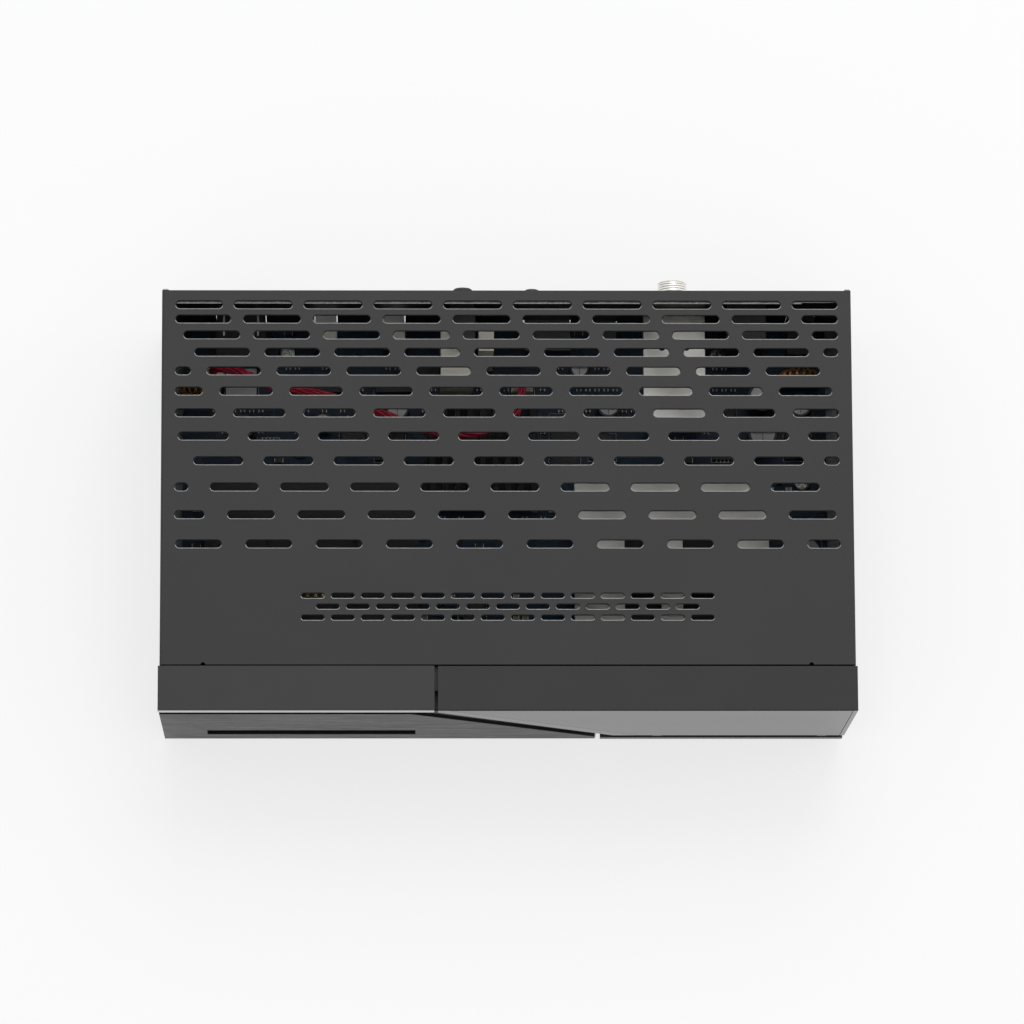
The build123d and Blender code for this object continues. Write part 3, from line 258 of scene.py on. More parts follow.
def relief(tree, height, depth):
    """Normal that shows a height pattern of that depth."""
    return out(tree, "ShaderNodeBump", None, Height=height, Distance=depth)


def finish(name, colour, second, roughness, metallic=0.0, fine=2500.0, broad=60.0, stretch=(1, 1, 1),
           depth=0.01 * mm, rubbed=None, rubbed_radius=0.3 * mm, specular=0.5, emission=0.0):
    """Material whose tone, gloss and relief follow the surface grain, with rubbed edges if given."""
    material, tree, shader = bare_material(name)
    grain = grain_of(tree, fine, broad, stretch)
    tone = mix_colours(tree, remap(tree, grain["Tone"], grain_low, grain_high), second, colour)
    if rubbed:
        edge = out(tree, "ShaderNodeGroup", {"node_tree": edge_group}, rubbed_radius)
        tone = mix_colours(tree, edge, tone, rubbed)
    feed(tree, shader, Base_Color=tone, Normal=relief(tree, grain["Height"], depth),
         Roughness=remap(tree, grain["Height"], grain_low, grain_high, *roughness),
         Metallic=metallic, Specular_IOR_Level=specular)
    if emission:
        feed(tree, shader, Emission_Color=colour, Emission_Strength=emission)
    return material


def dress(material, *names):
    """Give CAD pieces a finish."""
    for name in names:
        parts[name].data.materials.clear()
        parts[name].data.materials.append(material)


galvanised = finish("galvanised_sheet", zinc, zinc_dark, (0.36, 0.48), metallic=1.0, fine=500.0, broad=140.0,
                    stretch=(0.25, 1, 1), depth=0.001 * mm, rubbed=(0.50, 0.51, 0.52))
dress(galvanised, "chassis_tray", "board_brackets")

# ---------------------------------------------------------------- rubber feet
# Four soft pads of moulded matt rubber, a little dusty. Each has a stud that is pushed
# through a hole in the tray.
rubber = finish("foot_rubber", (0.028, 0.028, 0.029), (0.018, 0.018, 0.018), (0.75, 0.92), fine=1800.0,
                broad=200.0, depth=0.02 * mm, specular=0.3, rubbed=(0.07, 0.068, 0.064))
dress(rubber, "rubber_feet")

# ---------------------------------------------------------------- standoffs
# Brass pillars cut from drawn hexagonal bar and riveted in the tray. They carry the main
# board, and its screws go into them.
brass = finish("brass_bar", (0.60, 0.43, 0.19), (0.48, 0.33, 0.14), (0.24, 0.40), metallic=1.0, fine=4000.0,
               broad=500.0, stretch=(1, 1, 0.2), depth=0.004 * mm)
dress(brass, "standoffs")

# ---------------------------------------------------------------- main board
# Glass-fibre laminate under dark blue solder mask. Copper pours and tracks show through
# the mask as a slightly lighter tone, and white ink marks the outline of each larger part.
mask_blue = (0.004, 0.017, 0.036)
track_blue = (0.010, 0.036, 0.066)
laminate = (0.22, 0.24, 0.14)
track_scale = 520.0
pour_scale = 150.0
region_scale = 75.0
track_cover = 0.4
pour_border = 0.42
copper_thick = 0.02 * mm
side_slope = 0.3
mask_roughness = (0.24, 0.40)
ink_white = (0.78, 0.79, 0.77)
ink_radius = 0.10 * mm
ink_margin = 0.7 * mm
ink_part_rise = 2.0 * mm


def facing(tree, normal):
    """Outputs of a kind of normal along X, Y and Z."""
    direction = node(tree, "ShaderNodeNewGeometry").outputs[normal]
    return node(tree, "ShaderNodeSeparateXYZ", None, direction).outputs


def build_copper_group():
    """Mask of copper under the solder mask: poured areas and bundles of straight tracks."""
    sizes = {"Track scale": track_scale, "Pour scale": pour_scale, "Region scale": region_scale}
    group, given, end = shader_group("copper_pattern", sizes, ("Mask",))
    place = object_place(group)
    cells, regions = [
        node(group, "ShaderNodeTexVoronoi", {"distance": "CHEBYCHEV"}, Vector=place, Scale=given[label]).outputs
        for label in ("Pour scale", "Region scale")]
    waves = [
        node(group, "ShaderNodeTexWave", {"bands_direction": axis}, Vector=place, Scale=given["Track scale"],
             Distortion=0.0).outputs["Fac"] for axis in ("X", "Y")]
    region = out(group, "ShaderNodeSeparateColor", None, regions["Color"])
    across = sum_up(group, "GREATER_THAN", region, 0.5)
    bands = out(group, "ShaderNodeMix", {"data_type": "FLOAT"}, across, *waves)
    tracks = sum_up(group, "GREATER_THAN", bands, 1 - track_cover)
    pours = sum_up(group, "GREATER_THAN", cells["Distance"], pour_border)
    feed(group, end, sum_up(group, "MAXIMUM", pours, tracks))
    return group


def board_finish(name):
    """Solder mask on both faces, with the bare laminate on the cut edges."""
    material, tree, shader = bare_material(name)
    copper = out(tree, "ShaderNodeGroup", {"node_tree": build_copper_group()})
    upright = sum_up(tree, "ABSOLUTE", facing(tree, "Normal")["Z"])
    side = sum_up(tree, "LESS_THAN", upright, side_slope)
    masked = mix_colours(tree, copper, mask_blue, track_blue)
    tone = grain_of(tree, 3000.0, 90.0)["Tone"]
    feed(tree, shader, Base_Color=mix_colours(tree, side, masked, laminate),
         Roughness=remap(tree, tone, grain_low, grain_high, *mask_roughness),
         Normal=relief(tree, copper, copper_thick), Specular_IOR_Level=0.3)
    return material


def solids_of(name):
    """Lowest and highest corner of each separate solid in a CAD piece, left to right."""
    shape = bmesh.new()
    shape.from_mesh(parts[name].data)
    bmesh.ops.remove_doubles(shape, verts=shape.verts, dist=0.001 * mm)
    left = set(shape.verts)
    boxes = []
    while left:
        group = [left.pop()]
        for vertex in group:
            for edge in vertex.link_edges:
                other = edge.other_vert(vertex)
                if other in left:
                    left.discard(other)
                    group.append(other)
        spots = [vertex.co for vertex in group]
        low = Vector([min(spot[axis] for spot in spots) for axis in range(3)])
        high = Vector([max(spot[axis] for spot in spots) for axis in range(3)])
        boxes.append((low, high))
    shape.free()
    return sorted(boxes, key=lambda box: (round(box[0].x, 5), round(box[0].y, 5), box[0].z))


def middle(box):
    """Middle of a box given by its two corners."""
    return (box[0] + box[1]) / 2


def over(box, height):
    """Spot over or under the middle of a box at a height."""
    return Vector((*middle(box).xy, height))


def add_piece(piece, slot, *replaced):
    """Fix a new piece to the receiver and hide the CAD pieces that it stands for; its slot is not used."""
    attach(piece, "receiver")
    if replaced:
        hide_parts(*replaced)
    return piece


def geometry_tree(name, sizes):
    """Geometry node tree, the outputs that carry its mesh, its sizes and its material, and its end."""
    tree = bpy.data.node_groups.new(name, "GeometryNodeTree")
    tree.interface.new_socket(name="Geometry", in_out="OUTPUT", socket_type="NodeSocketGeometry")
    for label, kind in (("Geometry", "Geometry"), *sizes.items(), ("Material", "Material")):
        tree.interface.new_socket(name=label, in_out="INPUT", socket_type="NodeSocket" + kind)
    return tree, tree.nodes.new("NodeGroupInput").outputs, tree.nodes.new("NodeGroupOutput")


def tube(tree, curve, sides, radius, caps=False):
    """Mesh of a curve with a round section."""
    section = out(tree, "GeometryNodeCurvePrimitiveCircle", None, sides, radius)
    return out(tree, "GeometryNodeCurveToMesh", None, curve, section, Fill_Caps=caps)


def close_tree(tree, given, end, shape):
    """Realize a shape's instances, set its material and end the tree."""
    whole = out(tree, "GeometryNodeRealizeInstances", None, shape)
    feed(tree, end, out(tree, "GeometryNodeSetMaterial", None, whole, Material=given["Material"]))


def grow(source, tree, sizes, material):
    """Run a geometry tree on an object and keep the result as its plain mesh in that material."""
    modifier = source.modifiers.new("grow", "NODES")
    modifier.node_group = tree
    for item in tree.interface.items_tree:
        if item.in_out == "INPUT" and item.name != "Geometry":
            modifier[item.identifier] = material if item.name == "Material" else sizes[item.name]
    bpy.context.view_layer.update()
    evaluated = source.evaluated_get(bpy.context.evaluated_depsgraph_get())
    made = bpy.data.meshes.new_from_object(evaluated)
    source.modifiers.clear()
    old = source.data
    source.data = made
    bpy.data.meshes.remove(old)
    made.materials.clear()
    made.materials.append(material)
    for face in made.polygons:
        face.material_index = 0
    return source


def smooth(piece, angle_deg=38):
    """Smooth shading that keeps the edges sharper than the angle."""
    piece.data.shade_smooth()
    piece.data.set_sharp_from_angle(angle=math.radians(angle_deg))
    return piece


def discard(*objects):
    """Remove helper objects once their geometry is used."""
    for helper in objects:
        bpy.data.objects.remove(helper)


def build_ink_tree():
    """Thin raised line of ink along every edge of a wire mesh."""
    tree, given, end = geometry_tree("ink_lines", {"Radius": "Float"})
    line = out(tree, "GeometryNodeMeshToCurve", None, given["Geometry"])
    close_tree(tree, given, end, tube(tree, line, sides=4, radius=given["Radius"]))
    return tree


def add_wires(piece, edges):
    """Join a mesh's vertices by edges, each a pair of their numbers."""
    piece.data.edges.add(len(edges))
    piece.data.edges.foreach_set("vertices", [end for edge in edges for end in edge])


dress(board_finish("solder_mask"), "mainboard", "front_board")
board_low, board_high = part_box("mainboard")
board_top = board_high.z
inked_pieces = (
    "lan_socket", "usb_sockets", "hdmi_socket", "service_socket", "dc_inlet", "av_jack", "tuner_can",
    "memory_chips", "small_chips", "power_coils", "lan_transformer", "usb_filters", "crystal", "backup_cell",
    "wire_headers",
)
outline_spots, outline_edges = [], []
for name in inked_pieces:
    for low, high in solids_of(name):
        if low.z > board_top + ink_part_rise or high.y > board_high.y:
            continue
        corner = len(outline_spots)
        left, right = low.x - ink_margin, high.x + ink_margin
        near, far = low.y - ink_margin, high.y + ink_margin
        for x, y in ((left, near), (right, near), (right, far), (left, far)):
            outline_spots.append((x, y, board_top))
        outline_edges += [(corner + step, corner + (step + 1) % 4) for step in range(4)]
board_ink = new_mesh_object("board_ink", outline_spots, [])
add_wires(board_ink, outline_edges)
ink = finish("white_ink", ink_white, (0.60, 0.61, 0.60), (0.6, 0.8), fine=5000.0, broad=900.0, depth=0.003 * mm)
grow(board_ink, build_ink_tree(), {"Radius": ink_radius}, ink)
add_piece(board_ink, "board_laminate")

# ---------------------------------------------------------------- small parts on the board
# Several hundred surface-mounted packages in rows: chip resistors, ceramic capacitors and
# small transistors, soldered at their tinned ends. They keep clear of every larger part.
small_pitch_x = 3.0 * mm
small_pitch_y = 2.4 * mm
keep_clear = 1.0 * mm
board_margin = 2.0 * mm
keep_out_rise = 6.0 * mm
box_faces_each = 6
end_swell = 1.04
tinned = (0.40, 0.395, 0.38)
epoxy = (0.020, 0.020, 0.022)
ceramic = (0.32, 0.23, 0.15)
tall_pieces = inked_pieces + (
    "card_reader", "module_cage", "processor", "capacitors", "toroid_chokes", "board_screws",
)


def box_faces(low, high, vertices, faces):
    """Add a closed box between two corners to a vertex and a face list."""
    start = len(vertices)
    for z in (low[2], high[2]):
        for x, y in ((low[0], low[1]), (high[0], low[1]), (high[0], high[1]), (low[0], high[1])):
            vertices.append((x, y, z))
    for corners in ((3, 2, 1, 0), (4, 5, 6, 7), (0, 1, 5, 4), (1, 2, 6, 5), (2, 3, 7, 6), (3, 0, 4, 7)):
        faces.append(tuple(start + corner for corner in corners))


def boxes_object(name, boxes):
    """One object of several closed boxes."""
    vertices, faces = [], []
    for low, high in boxes:
        box_faces(low, high, vertices, faces)
    return new_mesh_object(name, vertices, faces)


def tint_faces(piece, rule):
    """Give each face a colour and a metal value, by a rule on its index and its middle."""
    mesh = piece.data
    mesh.attributes.new("tint", "FLOAT_COLOR", "FACE")
    mesh.attributes.new("metal", "FLOAT", "FACE")
    rules = [rule(face) for face in mesh.polygons]
    tints = [part for colour, value in rules for part in (*colour, 1)]
    mesh.attributes["tint"].data.foreach_set("color", tints)
    mesh.attributes["metal"].data.foreach_set("value", [value for colour, value in rules])
    return piece


def chip_stamp(name, length, width, height, end, body_colour):
    """Chip package centred on the origin with two tinned ends."""
    boxes = [((-length / 2 + end, -width / 2, 0), (length / 2 - end, width / 2, height))]
    for side in (-1, 1):
        low_x, high_x = sorted((side * length / 2, side * (length / 2 - end)))
        boxes.append(((low_x, -width / 2, 0), (high_x, width / 2, height * end_swell)))
    made = boxes_object(name, boxes)
    return tint_faces(made, lambda face: (body_colour, 0.0) if face.index < box_faces_each else (tinned, 1.0))


def build_scatter_tree():
    """A share of the points that lie clear of the larger parts get a stamp in a quarter turn."""
    sizes = {"Keep out": "Object", "Stamp": "Object", "Margin": "Float", "Share": "Float", "Seed": "Int"}
    tree, given, end = geometry_tree("scatter", sizes)
    points = out(tree, "GeometryNodeMeshToPoints", None, given["Geometry"])
    blockers = node(tree, "GeometryNodeObjectInfo", None, given["Keep out"]).outputs["Geometry"]
    near = node(tree, "GeometryNodeProximity", {"target_element": "FACES"}, blockers).outputs["Distance"]
    clear = out(tree, "FunctionNodeCompare", {"operation": "GREATER_THAN"}, near, given["Margin"])
    chosen = out(tree, "FunctionNodeRandomValue", {"data_type": "BOOLEAN"}, given["Share"], Seed=given["Seed"])
    both = out(tree, "FunctionNodeBooleanMath", {"operation": "AND"}, clear, chosen)
    stamp = node(tree, "GeometryNodeObjectInfo", None, given["Stamp"]).outputs["Geometry"]
    quarter = out(tree, "FunctionNodeRandomValue", {"data_type": "INT"}, 0, 1, Seed=given["Seed"])
    turn = out(tree, "ShaderNodeCombineXYZ", None, Z=sum_up(tree, "MULTIPLY", quarter, math.pi / 2))
    placed = out(tree, "GeometryNodeInstanceOnPoints", None, points, both, stamp, Rotation=turn)
    close_tree(tree, given, end, placed)
    return tree


def tinted_finish(name, roughness):
    """Material that takes its colour and metal from the piece's own attributes."""
    material, tree, shader = bare_material(name)
    grain = grain_of(tree, 3000.0, 900.0)
    tint = node(tree, "ShaderNodeAttribute", {"attribute_name": "tint"}).outputs["Color"]
    metal = node(tree, "ShaderNodeAttribute", {"attribute_name": "metal"}).outputs["Fac"]
    feed(tree, shader, Base_Color=tint, Metallic=metal,
         Roughness=remap(tree, grain["Tone"], 0.0, 1.0, *roughness),
         Normal=relief(tree, grain["Height"], 0.01 * mm))
    return material


keep_out = boxes_object("keep_out", [
    ((low.x, low.y, board_top - mm), (high.x, high.y, board_top + mm))
    for name in tall_pieces for low, high in solids_of(name) if low.z < board_top + keep_out_rise])
small_part_finish = tinted_finish("small_part_bodies", (0.3, 0.5))
scatter = build_scatter_tree()
# Each stamp comes with the share of the free places that it takes and a seed.
stamps = [
    (chip_stamp("resistor", 1.6 * mm, 0.8 * mm, 0.45 * mm, 0.3 * mm, epoxy), 0.40, 3),
    (chip_stamp("ceramic", 2.0 * mm, 1.2 * mm, 0.9 * mm, 0.35 * mm, ceramic), 0.24, 11),
    (chip_stamp("transistor", 2.9 * mm, 1.5 * mm, 1.0 * mm, 0.2 * mm, epoxy), 0.12, 23),
]
columns = int((board_high.x - board_low.x) / small_pitch_x)
rows = int((board_high.y - board_low.y) / small_pitch_y)
board_centre_y = (board_low.y + board_high.y) / 2
reach_x = board_high.x - board_margin
reach_y = (board_high.y - board_low.y) / 2 - board_margin
for index, (pattern, share, seed) in enumerate(stamps):
    spots = []
    for row in range(index, rows, len(stamps)):
        for column in range(columns):
            x = board_low.x + (column + 0.5) * small_pitch_x
            y = board_low.y + (row + 0.5) * small_pitch_y
            if abs(x) < reach_x and abs(y - board_centre_y) < reach_y:
                spots.append((x, y, board_top))
    piece = new_mesh_object(f"board_{pattern.name}_parts", spots, [])
    grow(piece, scatter, {"Keep out": keep_out, "Stamp": pattern, "Margin": keep_clear, "Share": share,
                          "Seed": seed}, small_part_finish)
    add_piece(piece, "chip_epoxy")
    discard(pattern)
discard(keep_out)

# ---------------------------------------------------------------- chips, coils and heat sink
# Black moulded packages with tinned gull-wing leads, a grey network transformer, and a
# processor under a black anodised sink with cut fins. The coils are wound on round ferrite
# drums, and all of them are soldered to the board.
lead_pitch = 1.27 * mm
lead_width = 0.42 * mm
lead_out = 0.75 * mm
lead_thick = 0.22 * mm
lead_counts = {"small_chips": 4, "lan_transformer": 8, "usb_filters": 6}
lead_rise = 0.75 * mm
coil_base = 0.9 * mm
chip_black = finish("chip_epoxy", (0.022, 0.022, 0.024), (0.014, 0.014, 0.015), (0.42, 0.62), fine=4500.0,
                    broad=300.0, depth=0.012 * mm, rubbed=(0.05, 0.05, 0.052), rubbed_radius=0.1 * mm)
sink_black = finish("black_anodised", (0.020, 0.020, 0.023), (0.010, 0.010, 0.012), (0.30, 0.46), metallic=0.6,
                    fine=3500.0, broad=240.0, depth=0.008 * mm, rubbed=(0.20, 0.20, 0.21),
                    rubbed_radius=0.15 * mm)
ferrite = finish("ferrite", (0.055, 0.053, 0.052), (0.032, 0.031, 0.031), (0.5, 0.7), fine=2600.0, broad=420.0,
                 depth=0.02 * mm, rubbed=(0.11, 0.105, 0.10))
tin_plate = finish("tin_plate", (0.78, 0.77, 0.73), (0.70, 0.69, 0.65), (0.30, 0.38), metallic=1.0, fine=400.0,
                   broad=90.0, depth=0.001 * mm, rubbed=(0.86, 0.85, 0.82))
grey_case = finish("grey_moulding", (0.56, 0.565, 0.575), (0.50, 0.505, 0.515), (0.42, 0.58), fine=3000.0,
                   broad=300.0, depth=0.008 * mm, rubbed=(0.5, 0.5, 0.5), rubbed_radius=0.1 * mm)
dress(chip_black, "processor", "memory_chips", "small_chips", "usb_filters", "crystal")
dress(grey_case, "lan_transformer")
dress(sink_black, "heat_sink")


def build_set_out_tree():
    """One stamp on every point, turned by the point's own turn."""
    tree, given, end = geometry_tree("set_out", {"Stamp": "Object"})
    points = out(tree, "GeometryNodeMeshToPoints", None, given["Geometry"])
    stamp = node(tree, "GeometryNodeObjectInfo", None, given["Stamp"]).outputs["Geometry"]
    turn = out(tree, "GeometryNodeInputNamedAttribute", {"data_type": "FLOAT_VECTOR"}, "turn")
    placed = out(tree, "GeometryNodeInstanceOnPoints", None, points, Instance=stamp, Rotation=turn)
    close_tree(tree, given, end, placed)
    return tree


set_out_tree = build_set_out_tree()


def set_out(name, stamp, places, material, slot, *replaced):
    """New fixed piece of one stamp at several places, each a spot and a turn in degrees."""
    piece = new_mesh_object(name, [spot for spot, turn in places], [])
    turns = piece.data.attributes.new("turn", "FLOAT_VECTOR", "POINT")
    for index, (spot, turn) in enumerate(places):
        turns.data[index].vector = [math.radians(angle) for angle in turn]
    grow(piece, set_out_tree, {"Stamp": stamp}, material)
    discard(stamp)
    return add_piece(piece, slot, *replaced)


lead_half = lead_width / 2
lead_bend = lead_out * 0.5
lead = boxes_object("lead", [
    ((-lead_half, 0, lead_rise), (lead_half, lead_bend, lead_rise + lead_thick)),
    ((-lead_half, lead_bend - lead_thick, 0), (lead_half, lead_bend, lead_rise + lead_thick)),
    ((-lead_half, lead_bend, 0), (lead_half, lead_out, lead_thick)),
])
lead_places = []
for name, count in lead_counts.items():
    for low, high in solids_of(name):
        centre = middle((low, high))
        for step in range(count):
            x = centre.x + (step - (count - 1) / 2) * lead_pitch
            lead_places.append(((x, high.y, board_top), (0, 0, 0)))
            lead_places.append(((x, low.y, board_top), (0, 0, 180)))
set_out("chip_leads", lead, lead_places, tin_plate, "tinned_steel")


def turned(name, profile, segments):
    """Closed surface turned about Z from (radius, height) pairs that start and end on the axis."""
    vertices, faces, rings = [], [], []
    for radius, height in profile:
        if radius == 0:
            rings.append([len(vertices)])
            vertices.append((0, 0, height))
            continue
        rings.append(list(range(len(vertices), len(vertices) + segments)))
        for step in range(segments):
            angle = 2 * math.pi * step / segments
            vertices.append((radius * math.cos(angle), radius * math.sin(angle), height))
    for below, above in zip(rings, rings[1:]):
        for step in range(segments):
            after = (step + 1) % segments
            if len(below) == 1:
                faces.append((below[0], above[after], above[step]))
            elif len(above) == 1:
                faces.append((below[step], below[after], above[0]))
            else:
                faces.append((below[step], below[after], above[after], above[step]))
    return new_mesh_object(name, vertices, faces)


def join(first, *others):
    """Move the geometry of the other objects into the first one."""
    shape = bmesh.new()
    for piece in (first, *others):
        shape.from_mesh(piece.data)
    shape.to_mesh(first.data)
    shape.free()
    discard(*others)
    return first


coil_boxes = solids_of("power_coils")
coil_size = coil_boxes[0][1] - coil_boxes[0][0]
coil_round = coil_size.x / 2
# Shares of the drum's radius and of its height, from the foot up.
coil_shape = [
    (0, 0), (0.97, 0), (0.97, 0.62), (0.86, 0.66), (0.86, 0.76), (0.97, 0.80), (0.97, 0.95), (0.90, 1), (0, 1),
]
coil_profile = [(coil_round * radius, coil_size.z * height) for radius, height in coil_shape]
coil = join(
    turned("coil", coil_profile, segments=24),
    boxes_object("coil_foot", [((-coil_round, -coil_round, 0), (coil_round, coil_round, coil_base))]))
coil_places = [(over(box, box[0].z), (0, 0, 0)) for box in coil_boxes]
set_out("wound_coils", coil, coil_places, ferrite, "coil_ferrite", "power_coils")

# ---------------------------------------------------------------- electrolytic capacitors
# Aluminium cans in a shrunk dark sleeve with a pale polarity band. The sleeve is turned in
# over the rim, and the bare end is scored with a cross that lets pressure out.
sleeve = (0.020, 0.022, 0.032)
band = (0.24, 0.24, 0.235)
can_end = (0.34, 0.34, 0.345)
score = (0.10, 0.10, 0.10)
sleeve_in = 0.78
band_half_deg = 24
band_step_deg = 40
can_segments = 32
foot_share = 0.96
rim_share = 0.95
rim_drop = 0.5 * mm
bead_depth = 0.35 * mm
bead_heights = (1.6 * mm, 1.9 * mm, 2.1 * mm, 2.4 * mm)
band_drop = 0.4 * mm
end_drop = 0.12 * mm
score_share = 0.9
score_half = 0.12 * mm
score_rise = 0.02 * mm


def capacitor(index, box):
    """One can with its sleeve, band and scored end, standing in its place."""
    radius = (box[1].x - box[0].x) / 2
    height = box[1].z - box[0].z
    neck = radius - bead_depth
    top = height - end_drop
    can = turned(f"can_{index}", [
        (0, 0), (radius * foot_share, 0), (radius, bead_depth),
        *zip((radius, neck, neck, radius), bead_heights), (radius, height - rim_drop),
        (radius * rim_share, height), (radius * sleeve_in, height), (radius * sleeve_in, top), (0, top),
    ], can_segments)
    can_faces = len(can.data.polygons)
    sleeve_faces = can_faces - 2 * can_segments
    arm = radius * sleeve_in * score_share
    cross = boxes_object("cross", [
        ((-x, -y, top - score_half), (x, y, top + score_rise))
        for x, y in ((arm, score_half), (score_half, arm))])
    joined = join(can, cross)

    def rule(face):
        if face.index >= can_faces:
            return score, 1.0
        if face.index >= sleeve_faces:
            return can_end, 1.0
        angle = math.degrees(math.atan2(face.center.y, face.center.x))
        in_band = abs((angle - band_step_deg * index) % 360 - 180) < band_half_deg
        return (band if in_band and face.center.z < height - band_drop else sleeve), 0.0

    tint_faces(joined, rule)
    joined.data.transform(Matrix.Translation(over(box, box[0].z)))
    return joined


cans = join(*[capacitor(index, box) for index, box in enumerate(solids_of("capacitors"))])
cans.name = "sleeved_capacitors"
cans.data.materials.append(tinted_finish("sleeve_and_can", (0.25, 0.42)))
add_piece(smooth(cans), "can_aluminium", "capacitors")
aluminium = finish("drawn_aluminium", (0.33, 0.33, 0.33), (0.28, 0.28, 0.285), (0.28, 0.38), metallic=1.0,
                   fine=500.0, broad=200.0, depth=0.001 * mm, rubbed=(0.75, 0.75, 0.75))
dress(aluminium, "backup_cell")

# ---------------------------------------------------------------- toroid chokes
# Enamelled copper wire wound on a painted ring of pressed iron powder. The ring stands on
# edge on the board and is held by its own soldered wire ends.
ring_radius = 4.6 * mm
ring_section = 1.5 * mm
wire_radius = 0.46 * mm
winding_turns = 15
winding_gap_deg = 50
points_a_turn = 20
ring_sides = 12
ring_paint = (0.10, 0.09, 0.04)


def build_winding_tree():
    """Wire wound round a ring: a helix bent into a circle that leaves a gap open."""
    sizes = {"Turns": "Float", "Ring": "Float", "Section": "Float", "Wire": "Float", "Gap": "Float",
             "Points": "Int"}
    tree, given, end = geometry_tree("winding", sizes)
    calc = partial(sum_up, tree)
    along = node(tree, "GeometryNodeSplineParameter").outputs["Factor"]
    open_angle = calc("SUBTRACT", 2 * math.pi, given["Gap"])
    round_ring = calc("ADD", calc("MULTIPLY", along, open_angle), calc("MULTIPLY", given["Gap"], 0.5))
    round_wire = calc("MULTIPLY", calc("MULTIPLY", along, given["Turns"]), 2 * math.pi)
    reach = calc("ADD", given["Ring"], calc("MULTIPLY", given["Section"], calc("COSINE", round_wire)))
    spot = out(tree, "ShaderNodeCombineXYZ", None,
               calc("MULTIPLY", reach, calc("COSINE", round_ring)),
               calc("MULTIPLY", reach, calc("SINE", round_ring)),
               calc("MULTIPLY", given["Section"], calc("SINE", round_wire)))
    line = out(tree, "GeometryNodeCurvePrimitiveLine")
    finer = out(tree, "GeometryNodeResampleCurve", None, line, Count=given["Points"])
    helix = out(tree, "GeometryNodeSetPosition", None, finer, Position=spot)
    close_tree(tree, given, end, tube(tree, helix, sides=6, radius=given["Wire"]))
    return tree


copper = finish("enamelled_copper", (0.80, 0.36, 0.13), (0.62, 0.25, 0.08), (0.22, 0.34), metallic=0.5,
                fine=3000.0, broad=600.0, depth=0.004 * mm)
powder_ring = finish("painted_ring", ring_paint, (0.07, 0.06, 0.03), (0.35, 0.5), fine=2600.0, broad=300.0)
winding = new_mesh_object("winding", [(0, 0, 0)], [])
grow(winding, build_winding_tree(), {
    "Turns": float(winding_turns), "Ring": ring_radius, "Section": ring_section + wire_radius,
    "Wire": wire_radius, "Gap": math.radians(winding_gap_deg), "Points": winding_turns * points_a_turn},
    copper)
section = []
for step in range(ring_sides + 1):
    angle = 2 * math.pi * step / ring_sides
    section.append((ring_radius + ring_section * math.cos(angle), ring_section * math.sin(angle)))
ring = turned("ring", section, segments=40)
ring_places = [(middle(box), (90, 90, 0)) for box in solids_of("toroid_chokes")]
smooth(set_out("choke_windings", winding, ring_places, copper, "copper_winding", "toroid_chokes"))
smooth(set_out("choke_rings", ring, ring_places, powder_ring, "coil_ferrite"))

# ---------------------------------------------------------------- card reader
# Black glass-filled moulding on the front left of the board, reaching forward to the slot.
# Gold-plated springs, pressed in its pocket from below, rub on the card.
springs_a_row = 4
spring_pitch = 2.54 * mm
spring_rows_apart = 11.0 * mm
spring_half_width = 0.5 * mm
spring_half_length = 2.4 * mm
spring_thick = 0.3 * mm
spring_tip_near = 1.2 * mm
spring_tip_far = 2.2 * mm
spring_tip_top = 0.9 * mm
pocket_share = 0.6
pocket_drop = 2.9 * mm
moulded_black = finish("moulded_black", (0.022, 0.022, 0.023), (0.014, 0.014, 0.015), (0.42, 0.60), fine=1500.0,
                       broad=160.0, depth=0.02 * mm, rubbed=(0.06, 0.06, 0.06))
gold = finish("gold_plate", (0.83, 0.60, 0.25), (0.72, 0.50, 0.19), (0.16, 0.28), metallic=1.0, fine=4000.0,
              broad=900.0, depth=0.003 * mm)
dress(moulded_black, "card_reader", "module_guide", "button_switch")
dress(gold, "lan_contacts", "module_contacts")
reader_low, reader_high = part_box("card_reader")
pocket_y = reader_low.y + pocket_share * (reader_high.y - reader_low.y)
reader_pocket = Vector(((reader_low.x + reader_high.x) / 2, pocket_y, reader_high.z - pocket_drop))
spring = boxes_object("spring", [
    ((-spring_half_width, -spring_half_length, 0), (spring_half_width, spring_half_length, spring_thick)),
    ((-spring_half_width, spring_tip_near, spring_thick), (spring_half_width, spring_tip_far, spring_tip_top)),
])
spring_places = []
for row, turn in ((-0.5, 0), (0.5, 180)):
    for step in range(springs_a_row):
        offset = Vector(((step - (springs_a_row - 1) / 2) * spring_pitch, row * spring_rows_apart, 0))
        spring_places.append((reader_pocket + offset, (0, 0, turn)))
set_out("card_springs", spring, spring_places, gold, "contact_gold")

# ---------------------------------------------------------------- module cage and tuner can
# Folded tin plate. The cage guides the access module over its black rails and is stiffened
# by three pressed ribs. The can screens the tuner, and spring fingers hold its lid.
rib_half_width = 0.6 * mm
rib_half_length = 29.0 * mm
rib_height = 0.22 * mm
rib_spacing = 27.0 * mm
lid_drop = 3.2 * mm
lid_sheet = 0.25 * mm
lid_fingers_a_side = 6
finger_half_width = 2.2 * mm


def add_boxes(name, boxes, material, slot):
    """New fixed piece of closed boxes in one finish."""
    piece = boxes_object(name, boxes)
    piece.data.materials.append(material)
    add_piece(piece, slot)


